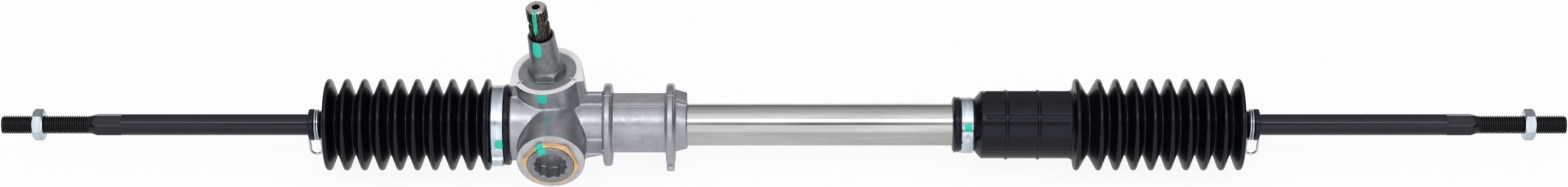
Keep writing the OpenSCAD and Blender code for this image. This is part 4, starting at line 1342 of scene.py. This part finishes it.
@dataclass
class EarBand(SidedSubAssembly):
    """A zinc-plated band that closes with a pinched ear.

    Angles are in degrees about the rack, from straight ahead (-Y) up towards the top.
    """

    radius: float
    ear_angle: float
    lap_start: float
    lap_end: float
    strip: float = 0.8 * MM
    lap_share: float = 0.9
    ear_w: float = 9 * MM
    ear_h: float = 2.9 * MM
    ear_squareness: int = 6
    ear_taper: float = 0.45 * MM
    pinch_share: float = 0.3
    pinch_half: tuple[float, float] = (0.42, 0.22)
    row_angle: float = 1.5
    columns: int = 12
    edge: float = 0.12 * MM
    strip_crease: float = math.radians(40)
    crease: float = math.radians(50)

    def surface(self, low: float, high: float, radius: float, ear: bool) -> bpy.types.Mesh:
        """Makes the outer face of a strip round the boot.

        Args:
            low: Angle of its lower end.
            high: Angle of its upper end.
            radius: Radius of the face.
            ear: Whether the strip rises into the ear.
        Returns:
            The mesh of the face.
        """
        node_low, node_high = extent(f"{self.side.value}_boot_band")
        steps = int((high - low) / self.row_angle)
        half_ear = math.degrees(self.ear_w / 2 / radius)
        long, wide = self.pinch_half
        grid = bmesh.new()
        rows = []
        for i in range(steps + 1):
            angle = low + (high - low) * i / steps
            share = abs(angle - self.ear_angle) / half_ear
            rise = self.ear_h * (1 - share ** self.ear_squareness) ** 0.5 if ear and share < 1 else 0.0
            taper = self.ear_taper * min(rise / self.ear_h, 1.0)
            row = []
            for j in range(self.columns + 1):
                v = j / self.columns
                depth = math.exp(-((share / long) ** 2) - (((v - 0.5) / wide) ** 2))
                x = node_low.x + taper + (node_high.x - node_low.x - 2 * taper) * v
                r = radius + rise - (self.pinch_share * self.ear_h * depth if rise else 0.0)
                turn = math.radians(angle)
                row.append(grid.verts.new((x, -r * math.cos(turn), r * math.sin(turn))))
            rows.append(row)
        for lower, upper in zip(rows, rows[1:]):
            for j in range(self.columns):
                grid.faces.new((lower[j], lower[j + 1], upper[j + 1], upper[j]))
        mesh = plain_mesh(grid, "strip")
        mesh.materials.append(self.palette.zinc.make())
        return mesh

    def build(self) -> None:
        """Builds the band of a full ring and the lap with the ear over it."""
        name = f"{self.side.value}_boot_band"
        outer = self.radius + self.strip
        surfaces = (self.surface(0, 360, outer, False),
                    self.surface(self.lap_end, self.lap_start, outer + self.lap_share * self.strip, True))
        parts = []
        for surface in surfaces:
            part = self.shop.piece(f"{name}_part", [surface])
            face_outwards(part, 0)
            solid(part, self.strip)
            parts.append(part.data.copy())
            bpy.data.objects.remove(part)
        piece = self.shop.piece(name + "_strip", parts, self.strip_crease)
        bevel = piece.modifiers.new("edge", "BEVEL")
        bevel.width, bevel.segments, bevel.limit_method = self.edge, 1, "ANGLE"
        apply_modifiers(piece)
        self.shop.dress(piece, self.crease)
        self.stand_in(piece, "housing", name, "blue_zinc")


@dataclass
class WireClip(SidedSubAssembly):
    """Two turns of wire round the boot's small cuff, with a loop hanging from them."""

    wire_r: float = 0.78 * MM
    coil_r: float = 9.6 * MM
    coil_gap: float = 0.1 * MM
    coil_steps: int = 48
    reach: float = 30.9 * MM
    turns: int = 2
    loop_r: float = 3.8 * MM
    loop_l: float = 11.6 * MM
    loop_steps: int = 18
    foot_gap: float = 1.2 * MM
    free_gap: float = 2.6 * MM

    def coil(self) -> list[tuple[float, float, float]]:
        """The middle line of the turns round the cuff, from below.

        Returns:
            The points.
        """
        pitch = 2 * self.wire_r + self.coil_gap
        points = []
        for i in range(self.coil_steps * self.turns + 1):
            turn = TAU * i / self.coil_steps
            x = self.side.from_ball(self.reach + pitch * i / self.coil_steps)
            points.append((x, -self.coil_r * math.sin(turn), -self.coil_r * math.cos(turn)))
        return points

    def path(self) -> list[tuple[float, float, float]]:
        """The middle line of the wire, from the free end of the loop through the coil.

        Returns:
            The points.
        """
        start = self.side.from_ball(self.reach)
        front = -1.5 * self.wire_r
        bottom = -self.coil_r - self.loop_l
        loop = [(start + self.side.sign * across, front, z)
                for across, z in arc(self.loop_r, bottom, self.loop_r, 0.0, -math.pi, self.loop_steps)]
        free = (start + self.side.sign * 2 * self.loop_r, front, -self.coil_r - self.free_gap)
        return [free, *loop, (start, front, -self.coil_r - self.foot_gap), *self.coil()]

    def build(self) -> None:
        """Builds the clip, which rides on the tie rod."""
        name = f"{self.side.value}_boot_clip"
        mesh = self.shop.swept(self.path(), self.wire_r, self.palette.zinc)
        piece = self.shop.piece(name + "_wire", [mesh])
        self.stand_in(piece, f"{self.side.value}_tie_rod", name, "blue_zinc")


@dataclass
class TieRod(SidedSubAssembly):
    """An inner tie rod in one forging, with its lock nut.

    Reaches are from the ball centre. The shape of the thread is given in shares of its pitch and its depth.
    """

    length: float = 240 * MM
    ball_r: float = 12.5 * MM
    ball_steps: int = 24
    neck_r: float = 5.8 * MM
    neck_end: float = 24.5 * MM
    shoulder_l: float = 3 * MM
    rod_r: float = 6.95 * MM
    flats_start: float = 161 * MM
    flats_end: float = 177 * MM
    flats_apothem: float = 6.5 * MM
    flats_r: float = 7.3 * MM
    cone_steps: int = 6
    cone_drop: float = 0.5 * MM
    overlap: float = 1 * MM
    thread_start: float = 182.4 * MM
    thread_r: float = 5.95 * MM
    thread_depth: float = 0.9 * MM
    thread_pitch: float = 1.5 * MM
    thread_shape: tuple[tuple[float, float], ...] = ((0.0, 0.0), (0.25, 0.0), (0.56, 1.0), (0.69, 1.0))
    tip_chamfer: float = 1.3 * MM
    nut_from_tip: float = 21 * MM
    nut_t: float = 7 * MM
    nut_apothem: float = 9 * MM
    nut_bore_r: float = 5.6 * MM
    nut_turn: float = math.radians(13)
    nut_crease: float = math.radians(25)

    def placed(self, corners: Iterable[Corner], start: float = 0.0) -> list[Corner]:
        """Moves an outline from a reach of its own to its place on this side."""
        return [(self.side.from_ball(start + corner[0]), *corner[1:]) for corner in corners]

    def forging(self) -> bpy.types.Mesh:
        """Makes ball, neck, rod, wrench flats and the cone to the thread.

        Returns:
            The mesh of them in one.
        """
        meet = math.acos(self.neck_r / self.ball_r)
        ball = arc(0.0, 0.0, self.ball_r, math.pi, math.pi / 2 - meet, self.ball_steps)
        flats, tall, steps = self.flats_apothem, self.flats_r, self.cone_steps
        cone_l, fall = self.thread_start - self.flats_end, self.thread_r - self.cone_drop - tall
        cone = [(self.flats_end + cone_l * k / steps, tall + fall * k / steps, 0.0, flats)
                for k in range(steps + 1)]
        end = self.thread_start + self.overlap
        corners = [
            *ball, (self.neck_end, self.neck_r, 1.5 * MM),
            (self.neck_end + self.shoulder_l, self.rod_r, 1.5 * MM), (self.flats_start, self.rod_r),
            (self.flats_start + 0.15 * MM, self.rod_r + 0.05 * MM, 0.0, flats),
            (self.flats_start + 0.5 * MM, tall, 0.0, flats), *cone,
            (end, self.thread_r - 0.6 * MM), (end, 0.0)]
        return self.shop.turned(self.placed(corners), self.palette.black, closed=False, phase=TAU / 12)

    def thread(self) -> bpy.types.Mesh:
        """Makes the thread from the outline of one turn, repeated and led along the rod.

        Returns:
            Its mesh.
        """
        crest, root, pitch = self.thread_r, self.thread_r - self.thread_depth, self.thread_pitch
        one_turn = [(share * pitch, root + rise * self.thread_depth) for share, rise in self.thread_shape]
        turns = int((self.length - self.thread_start) / pitch) + 3
        finish, tip = self.palette.black_thread, self.length
        line = self.shop.repeated(self.shop.line_mesh(one_turn), turns, finish, (pitch, 0, 0))
        start, small_r = self.thread_start - 1.5 * pitch, root - 0.3 * MM
        corners = []
        for vertex in line.vertices:
            x = vertex.co.x + start
            if x < tip:
                chamfered = max(small_r, crest - self.tip_chamfer + tip - x)
                corners.append((x, min(vertex.co.y, chamfered)))
        bpy.data.meshes.remove(line)
        corners += [(tip, root - 0.4 * MM), (tip + pitch, 0.0)]
        low, high = sorted((self.side.from_ball(self.thread_start - pitch), self.side.from_ball(tip)))
        return self.shop.turned(self.placed(corners), finish, segments=48, closed=False,
                                lead=self.side.sign * pitch, low=low, high=high)

    def nut(self) -> bpy.types.Mesh:
        """Makes the lock nut.

        Returns:
            Its mesh.
        """
        start = self.length - self.nut_from_tip - self.nut_t
        corners = nut_corners(self.nut_apothem, self.nut_bore_r, self.nut_t, 0.6 * MM)
        return self.shop.turned(self.placed(corners, start), self.palette.zinc, phase=self.nut_turn)

    def build(self) -> None:
        """Builds the rod and its nut."""
        body = f"{self.side.value}_tie_rod"
        rod = self.shop.piece(body + "_forging", [self.forging(), self.thread()])
        nut = self.shop.piece(f"{self.side.value}_lock_nut_plated", [self.nut()], self.nut_crease)
        self.stand_in(rod, body, body, "black_steel")
        self.stand_in(nut, body, f"{self.side.value}_lock_nut", "blue_zinc")


def nut_corners(apothem: float, bore_r: float, thickness: float, inner_chamfer: float) -> list[Corner]:
    """The outline of a hexagon nut with turned corners, from nought to its thickness.

    Args:
        apothem: Half the size across its flats.
        bore_r: Radius of its bore.
        thickness: Its thickness.
        inner_chamfer: Chamfer at the ends of the bore.
    Returns:
        The corners, each with its apothem where the hexagon cuts it.
    """
    corner_r = apothem / math.cos(math.pi / 6)
    drop = (corner_r - apothem) * math.tan(math.pi / 6) * 1.15
    steps = 8
    low = [(drop * k / steps, apothem + (corner_r - apothem) * k / steps, 0.0, apothem if k else 0.0)
           for k in range(steps + 1)]
    high = [(thickness - x, r, 0.0, flat) for x, r, _, flat in reversed(low)]
    return [(inner_chamfer, bore_r), (0.0, bore_r + inner_chamfer), *low, *high,
            (thickness, bore_r + inner_chamfer), (thickness - inner_chamfer, bore_r)]


@dataclass
class RackTube(SubAssembly):
    """The plain steel tube between the housing and the right boot."""

    radius: float = 13.75 * MM
    wall: float = 1.5 * MM
    edge: float = 0.3 * MM
    segments: int = 160

    def build(self) -> None:
        """Builds the tube over its CAD node's whole length."""
        low, high = extent("rack_tube")
        corners = [
            (low.x, self.radius - self.wall), (low.x, self.radius, self.edge),
            (high.x, self.radius, self.edge), (high.x, self.radius - self.wall)]
        mesh = self.shop.turned(corners, self.palette.tube, segments=self.segments)
        piece = self.shop.piece("rack_tube_drawn", [mesh])
        self.stand_in(piece, "housing", "rack_tube", "tube_steel")


@dataclass
class YokeAdjuster(SubAssembly):
    """The yoke plug with its twelve-point socket, and the yellow lock nut round it.

    Places are measured from the rack axis along -Y.
    """

    plug_r: float = 15.25 * MM
    plug_face: float = 40 * MM
    plug_l: float = 13.6 * MM
    socket_r: float = 11.0 * MM
    socket_depth: float = 9.6 * MM
    nut_seat: float = 35.55 * MM
    nut_apothem: float = 16.3 * MM
    nut_t: float = 3.6 * MM
    back_chamfer: float = 1.2 * MM
    socket_chamfer: float = 0.6 * MM
    pip_radii: tuple[float, ...] = (3.1 * MM, 2.8 * MM, 2.5 * MM, 2.2 * MM)
    pip_h: float = 0.25 * MM
    turn: float = math.radians(8)
    segments: int = 144
    crease: float = math.radians(28)

    def plug(self) -> bpy.types.Mesh:
        """Makes the plug, whose socket is the union of two hexagons.

        Returns:
            Its mesh.
        """
        face, back = self.plug_face, self.plug_face - self.plug_l
        socket, apothem = self.plug_face - self.socket_depth, self.socket_r * math.cos(math.pi / 6)
        chamfer, foot = self.socket_chamfer, socket + self.pip_h
        outer, rim, inner, hollow = self.pip_radii
        corners = [
            (back, 0.0), (back, self.plug_r - self.back_chamfer, 0.3 * MM),
            (back + self.back_chamfer, self.plug_r, 0.3 * MM), (face - 0.7 * MM, self.plug_r, 0.3 * MM),
            (face, self.plug_r - 0.8 * MM, 0.4 * MM), (face, self.socket_r + 0.15 * MM),
            (face - 0.2 * MM, self.socket_r, 0.0, apothem + 0.3 * MM),
            (face - chamfer, self.socket_r, 0.0, apothem), (socket + chamfer, self.socket_r, 0.0, apothem),
            (socket, self.socket_r - chamfer, 0.0, apothem * 0.95),
            (socket, outer), (foot, rim), (foot, inner), (socket, hollow), (socket, 0.0)]
        return self.shop.turned(corners, self.palette.plug, Axis.YOKE, self.segments, closed=False,
                                twelve_points=1.0, phase=self.turn)

    def nut(self) -> bpy.types.Mesh:
        """Makes the thin lock nut.

        Returns:
            Its mesh.
        """
        corners = nut_corners(self.nut_apothem, self.plug_r + 0.05 * MM, self.nut_t, 0.4 * MM)
        placed = [(self.nut_seat + c[0], *c[1:]) for c in corners]
        return self.shop.turned(placed, self.palette.yellow, Axis.YOKE, self.segments, phase=self.turn)

    def build(self) -> None:
        """Builds plug and nut."""
        parts = (("yoke_plug", self.plug(), "plug_metal"), ("yoke_lock_nut", self.nut(), "yellow_zinc"))
        for node, mesh, slot in parts:
            piece = self.shop.piece(node + "_turned", [mesh], self.crease)
            self.stand_in(piece, "housing", node, slot)


@dataclass
class PinionCover(SubAssembly):
    """The staked cover of the tower: disc, hexagon and tapered collar. Heights are along the pinion."""

    disc_r: float = 19.1 * MM
    bottom: float = 25.05 * MM
    disc_top: float = 35.1 * MM
    hex_apothem: float = 11 * MM
    hex_top: float = 40.6 * MM
    hex_foot_r: float = 13.3 * MM
    foot_r: float = 10.15 * MM
    rim_r: float = 8.75 * MM
    rim_wall: float = 1.2 * MM
    rim_top: float = 66.6 * MM
    shaft_r: float = 8.1 * MM
    bevel_l: float = 1.5 * MM
    bevel_steps: int = 8
    turn: float = math.radians(34)
    segments: int = 144
    crease: float = math.radians(30)

    def disc(self) -> list[Corner]:
        """The outline of the disc, from the hexagon's foot round its edge to its bore.

        Returns:
            The corners.
        """
        return [
            (self.disc_top, self.hex_foot_r), (self.disc_top, self.disc_r - 0.5 * MM, 0.2 * MM),
            (self.disc_top - 0.4 * MM, self.disc_r, 0.2 * MM), (self.bottom, self.disc_r),
            (self.bottom, self.shaft_r)]

    def collar(self) -> list[Corner]:
        """The outline of hexagon and collar, from the disc round the rim to the bore.

        Returns:
            The corners.
        """
        corner_r = self.hex_apothem / math.cos(math.pi / 6)
        flat, top, steps = self.hex_apothem, self.hex_top, self.bevel_steps
        fall = flat - 0.3 * MM - corner_r
        bevel = [(top - self.bevel_l + self.bevel_l * k / steps, corner_r + fall * k / steps, 0.0, flat)
                 for k in range(steps + 1)]
        return [
            (self.disc_top, self.hex_foot_r),
            (self.disc_top + 0.1 * MM, corner_r + 0.1 * MM, 0.0, flat + 0.35 * MM),
            (self.disc_top + 0.6 * MM, corner_r, 0.0, flat), *bevel, (top, self.foot_r + 0.4 * MM, 0.3 * MM),
            (top + 1 * MM, self.foot_r - 0.1 * MM, 0.8 * MM), (self.rim_top, self.rim_r, 0.25 * MM),
            (self.rim_top, self.rim_r - self.rim_wall, 0.25 * MM), (top, self.foot_r - self.rim_wall),
            (self.disc_top, self.shaft_r), (self.bottom, self.shaft_r)]

    def build(self) -> None:
        """Builds the cover."""
        parts = ((self.disc(), self.palette.disc), (self.collar(), self.palette.cover))
        meshes = [self.shop.turned(corners, finish, Axis.PINION, self.segments, closed=False,
                                   phase=self.turn) for corners, finish in parts]
        piece = self.shop.piece("pinion_cover_casting", meshes, self.crease)
        self.stand_in(piece, "housing", "pinion_cover", "cover_casting")


@dataclass
class HousingCasting(SubAssembly):
    """The die-cast housing: cast with stock on its machined faces, softened, then cut."""

    voxel: float = 0.6 * MM
    stock: float = 1.2 * MM
    boss_stock: float = 0.3 * MM
    smooth_share: float = 0.5
    smooth_rounds: int = 4
    kept_share: float = 0.42
    tower_r: float = 23.35 * MM
    corner_half: float = 24.5 * MM
    corner_reach: float = 12.7 * MM
    tower_top: float = 35.6 * MM
    tower_l: float = 9 * MM
    cover_r: float = 19.13 * MM
    cover_seat: float = 25.05 * MM
    stake_r: float = 19.65 * MM
    groove_l: float = 0.6 * MM
    boss_r: float = 22.25 * MM
    boss_face: float = 35.5 * MM
    boss_l: float = 7 * MM
    plug_r: float = 15.28 * MM
    plug_seat: float = 26 * MM
    tool_l: float = 14 * MM
    tool_share: float = 1.6
    segments: int = 144
    crease: float = math.radians(40)
    stakes: int = 3
    stake_turn: float = math.radians(60)
    stake_place: float = 20.1 * MM
    stake_deep: float = 0.5 * MM
    stake_wide: float = 2.2
    flash_y: float = -1.4 * MM
    flash_from: float = -40 * MM
    flash_r: float = 0.22 * MM
    flash_step: float = 0.8 * MM
    flash_waves: tuple[tuple[float, float], ...] = ((0.05 * MM, 2900), (0.04 * MM, 7100))

    def corners(self, low: float, high: float) -> bpy.types.Mesh:
        """Makes the block that squares the tower's front, between two heights.

        Args:
            low: Height of its foot along the pinion.
            high: Height of its top.
        Returns:
            Its mesh.
        """
        block = bmesh.new()
        wide, deep = self.corner_half, self.corner_reach
        for z in (low, high):
            for x, y in ((-wide, -deep), (wide, -deep), (self.tower_r, 0), (-self.tower_r, 0)):
                block.verts.new((z, y, -x))
        bmesh.ops.convex_hull(block, input=block.verts)
        mesh = plain_mesh(block, "corners")
        mesh.transform(Axis.PINION.matrix)
        return mesh

    def stocked(self) -> bpy.types.Object:
        """Merges the CAD casting and puts stock on its tower and boss.

        Returns:
            The blank.
        """
        blank = bmesh.new()
        blank.from_mesh(frame["nodes"]["housing"].data)
        bmesh.ops.remove_doubles(blank, verts=blank.verts, dist=WELD)
        mesh = plain_mesh(blank, "casting")
        low, high = self.tower_top - self.tower_l, self.tower_top + self.stock
        tower = self.shop.turned(
            cylinder(low, high, self.tower_r), self.palette.cast, Axis.PINION, closed=False)
        boss = self.shop.turned(
            cylinder(self.boss_face - self.boss_l, self.boss_face + self.boss_stock, self.boss_r),
            self.palette.cast, Axis.YOKE, closed=False)
        return self.shop.piece("housing_casting", [mesh, tower, boss, self.corners(low, high)])

    def soften(self, piece: bpy.types.Object) -> None:
        """Melts the parts into one skin with soft edges.

        Args:
            piece: The blank.
        """
        remesh = piece.modifiers.new("skin", "REMESH")
        remesh.mode, remesh.voxel_size = "VOXEL", self.voxel
        smooth = piece.modifiers.new("soft", "SMOOTH")
        smooth.factor, smooth.iterations = self.smooth_share, self.smooth_rounds
        thin = piece.modifiers.new("thin", "DECIMATE")
        thin.ratio = self.kept_share
        apply_modifiers(piece)
        piece.data.materials.clear()
        piece.data.materials.append(self.palette.cast.make())

    def cutters(self) -> bpy.types.Object:
        """Makes what the machining takes away, as one tool.

        Returns:
            The tool.
        """
        top, seat, end = self.tower_top, self.cover_seat, self.tower_top + self.tool_l
        groove, wide = top - self.groove_l, self.tool_share * self.tower_r
        tower = self.shop.turned(
            [(seat, 0.0), (seat, self.cover_r), (groove, self.cover_r), (groove, self.stake_r),
             (top, self.stake_r), (top, wide), (end, wide), (end, 0.0)],
            self.palette.machined, Axis.PINION, self.segments, closed=False)
        face, end, wide = self.boss_face, self.boss_face + self.tool_l, self.tool_share * self.boss_r
        boss = self.shop.turned(
            [(self.plug_seat, 0.0), (self.plug_seat, self.plug_r), (face, self.plug_r), (face, wide),
             (end, wide), (end, 0.0)],
            self.palette.boss_face, Axis.YOKE, self.segments, closed=False)
        return self.shop.piece("machining", [tower, boss, self.stake_punches()])

    def stake_punches(self) -> bpy.types.Mesh:
        """Makes the punches whose dents lock the cover into the tower.

        Returns:
            The mesh of all of them.
        """
        deep, wide = self.stake_deep, self.stake_wide
        tip, end = self.tower_top - deep, self.tower_top + deep
        punch = self.shop.turned(
            [(tip, 0.0), (tip, deep), (end, wide * deep), (end, 0.0)],
            self.palette.boss_face, segments=20, closed=False)
        punch.transform(Matrix.Translation((0, -self.stake_place, 0)) @ Matrix.Diagonal((1, wide, 1, 1)))
        ring = self.shop.repeated(punch, self.stakes, self.palette.boss_face, turn=TAU / self.stakes)
        ring.transform(Axis.PINION.matrix @ Matrix.Rotation(self.stake_turn, 4, "X"))
        return ring

    def parting_flash(self, casting: bpy.types.Object) -> None:
        """Lays the thin line of the die's parting along the top of the casting.

        Args:
            casting: The finished casting, whose surface the line follows.
        """
        skin = BVHTree.FromObject(casting, bpy.context.evaluated_depsgraph_get())
        _, high = extent("housing")
        points = []
        x = self.flash_from
        while x < high.x - self.flash_step:
            hit = skin.ray_cast(Vector((x, self.flash_y, 2 * high.z)), Vector((0, 0, -1)))[0]
            if hit is not None:
                ragged = sum(rise * math.sin(beat * x) for rise, beat in self.flash_waves)
                points.append(hit + Vector((0, ragged, 0.3 * self.flash_r + ragged)))
            x += self.flash_step
        mesh = self.shop.swept(points, self.flash_r, self.palette.boss_face)
        piece = self.shop.piece("housing_parting_flash", [mesh])
        self.stand_in(piece, "housing", "housing", "cast_aluminium")

    def build(self) -> None:
        """Builds the casting."""
        piece = self.stocked()
        self.soften(piece)
        tool = self.cutters()
        cut = piece.modifiers.new("machined", "BOOLEAN")
        cut.operation, cut.solver, cut.object = "DIFFERENCE", "EXACT", tool
        cut.material_mode = "TRANSFER"
        apply_modifiers(piece)
        bpy.data.objects.remove(tool)
        self.shop.dress(piece, self.crease)
        self.stand_in(piece, "housing", "housing", "cast_aluminium")
        self.parting_flash(piece)


@dataclass
class Studio:
    """A pale floor, soft lamps and the camera of the photograph.

    Attributes:
        picture_w: Width of the photograph in pixels.
        axis_below_middle: How far the rack lies below the middle of the picture.
        middle_x: Place along the rack in the middle of the picture.
        picture_scale: Size of a pixel at the rack.
        elevation: Angle at which the camera looks down.
        distance: From the camera to what it aims at.
        sensor: Width of the sensor in the camera's own millimetres.
        floor_half: Half the floor's width.
        floor_gap: Air between the floor and the lowest point.
        paper_shades: The floor's two faint shades.
        paper_blotch: Size of their blotches.
        paper_roughness: Roughness of the floor.
        camera_shadow: How much of the floor's shadow the camera sees.
        mirror_shadow: How much of it polished pieces mirror.
        level: Strength of the lamps.
        lit_half: Part of the sky, along the rack, over which the lamps fade.
        end_level: What is left of them at the ends.
        gap_dim: How dark the gap between the lamps is.
        gap_height: Angles over which the gap begins and ends.
        gap_half: Half its width along the rack, inside and outside its soft edge.
        softboxes: Angle above the front horizon and brightness, all the way round.
    """

    picture_w: int = 2576
    axis_below_middle: float = 20.5 * MM
    middle_x: float = 95.2 * MM
    picture_scale: float = 0.4013 * MM
    elevation: float = math.radians(42)
    distance: float = 2.2
    sensor: float = 36.0
    floor_half: float = 6.0
    floor_gap: float = 1 * MM
    paper_shades: tuple[str, str] = ("f4f4f4", "fbfbfb")
    paper_blotch: float = 0.3
    paper_roughness: float = 0.9
    camera_shadow: float = 0.08
    mirror_shadow: float = 0.6
    level: float = 1.45
    lit_half: tuple[float, float] = (0.35, 0.85)
    end_level: float = 0.1
    gap_dim: float = 0.92
    gap_height: tuple[float, float, float, float] = (38, 42, 51, 56)
    gap_half: tuple[float, float] = (0.08, 0.2)
    softboxes: tuple[tuple[float, float], ...] = (
        (-90, 0.12), (-35, 0.5), (-12, 0.8), (0, 0.9), (57, 0.9), (61, 2.5), (68, 2.5), (73, 0.88),
        (92, 0.85), (112, 0.55), (140, 0.38), (174, 0.12), (215, 0.06), (270, 0.12))

    def camera(self) -> None:
        """Aims the camera as the photograph was taken."""
        up = Vector((0, math.sin(self.elevation), math.cos(self.elevation)))
        back = Vector((0, -math.cos(self.elevation), math.sin(self.elevation)))
        target = Vector((self.middle_x, 0, 0)) + up * self.axis_below_middle
        data = bpy.data.cameras.new("camera")
        data.sensor_width = self.sensor
        data.lens = self.sensor * self.distance / (self.picture_w * self.picture_scale)
        camera = bpy.data.objects.new("camera", data)
        camera.location = target + back * self.distance
        camera.rotation_euler = (-back).to_track_quat("-Z", "Y").to_euler()
        bpy.context.scene.collection.objects.link(camera)
        bpy.context.scene.camera = camera

    def paper_white(self, graph: Graph, lit: Any) -> bpy.types.NodeSocket:
        """Mixes plain white over a shader for camera, glossy and transmitted rays.

        Args:
            graph: The tree that the nodes go into.
            lit: The shader that takes light and shadow.
        Returns:
            The mixed shader.
        """
        rays = graph.add("ShaderNodeLightPath").outputs
        seen = graph.math("MULTIPLY", rays["Is Camera Ray"], 1.0 - self.camera_shadow)
        mirrored = graph.math("MAXIMUM", rays["Is Glossy Ray"], rays["Is Transmission Ray"])
        mirrored = graph.math("MULTIPLY", mirrored, 1.0 - self.mirror_shadow)
        white = graph.add("ShaderNodeEmission", {"Color": (1, 1, 1, 1), "Strength": 1.0}).outputs[0]
        share = graph.math("MAXIMUM", seen, mirrored)
        return graph.add("ShaderNodeMixShader", {0: share, 1: lit, 2: white}).outputs[0]

    def floor(self) -> None:
        """Lays the floor under the lowest point."""
        half = self.floor_half
        low, _ = cad_box
        mesh = bpy.data.meshes.new("floor")
        corners = [(-half, -half), (half, -half), (half, half), (-half, half)]
        mesh.from_pydata([(x, y, low.z - self.floor_gap) for x, y in corners], [], [(0, 1, 2, 3)])
        material = bpy.data.materials.new("floor_paper")
        material.use_nodes = True
        tree = material.node_tree
        shader = tree.nodes["Principled BSDF"]
        graph = Graph(tree)
        place = graph.add("ShaderNodeTexCoord").outputs["Object"]
        tone = graph.mix(graph.noise(place, self.paper_blotch), *map(linear, self.paper_shades))
        graph.feed(shader.inputs["Base Color"], tone)
        shader.inputs["Roughness"].default_value = self.paper_roughness
        graph.feed(tree.nodes["Material Output"].inputs[0], self.paper_white(graph, shader.outputs[0]))
        mesh.materials.append(material)
        floor = bpy.data.objects.new("floor", mesh)
        bpy.context.scene.collection.objects.link(floor)
        floor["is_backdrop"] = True

    def world(self) -> None:
        """Paints a front softbox, a strip lamp and a top softbox, with a dark gap between the last two."""
        world = bpy.data.worlds.new("studio")
        world.use_nodes = True
        tree = world.node_tree
        graph = Graph(tree)
        x, y, z = graph.split(graph.add("ShaderNodeTexCoord").outputs["Generated"])
        height = graph.math("ARCTAN2", z, graph.math("MULTIPLY", y, -1.0))
        share = graph.math("FRACT", graph.math("ADD", graph.math("DIVIDE", height, TAU), 0.25))
        bands = graph.add("ShaderNodeValToRGB", {0: share})
        stops = bands.color_ramp.elements
        while len(stops) < len(self.softboxes):
            stops.new(1.0)
        for stop, (angle, shine) in zip(stops, self.softboxes):
            stop.position = (angle + 90) / 360
            stop.color = (shine, shine, shine * 1.01, 1.0)
        away = graph.math("ABSOLUTE", x)
        reach = graph.ramp(away, *self.lit_half, 1.0, self.end_level)
        degrees = graph.math("DEGREES", height)
        low, start, end, high = self.gap_height
        begun, ended = graph.ramp(degrees, low, start), graph.ramp(degrees, end, high, 1.0, 0.0)
        gap = graph.math("MULTIPLY", begun, ended)
        gap = graph.math("MULTIPLY", gap, graph.ramp(away, *self.gap_half, self.gap_dim, 0.0))
        reach = graph.math("MULTIPLY", reach, graph.math("SUBTRACT", 1.0, gap))
        background = tree.nodes["Background"]
        graph.feed(background.inputs["Color"], bands.outputs[0])
        graph.feed(background.inputs["Strength"], graph.math("MULTIPLY", reach, self.level))
        bpy.context.scene.world = world

    def build(self) -> None:
        """Sets up the camera, the floor and the light."""
        self.camera()
        self.floor()
        self.world()
        bpy.context.scene.view_settings.view_transform = "Standard"


def main() -> None:
    """Builds every sub-assembly and reports its pieces."""
    logging.basicConfig(level=logging.INFO, format="%(name)s: %(message)s")
    shop, palette = Workshop(), Palette()
    Studio().build()
    InnerWorks(shop, palette).dress()
    HousingCasting(shop, palette).build()
    RackTube(shop, palette).build()
    PinionCover(shop, palette).build()
    YokeAdjuster(shop, palette).build()
    Boot(shop, palette, Side.LEFT).build()
    SleevedBoot(shop, palette, Side.RIGHT).build()
    EarBand(shop, palette, Side.LEFT, radius=25.25 * MM, ear_angle=-18, lap_start=4, lap_end=-62).build()
    EarBand(shop, palette, Side.RIGHT, radius=17.25 * MM, ear_angle=17, lap_start=32, lap_end=-42).build()
    for side in Side:
        WireClip(shop, palette, side).build()
        TieRod(shop, palette, side).build()
    for name, box in (("cad", cad_box), ("visual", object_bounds())):
        log.info("%s box %s to %s", name, *[[round(v, 4) for v in corner] for corner in box])


if __name__ == "__main__":
    main()
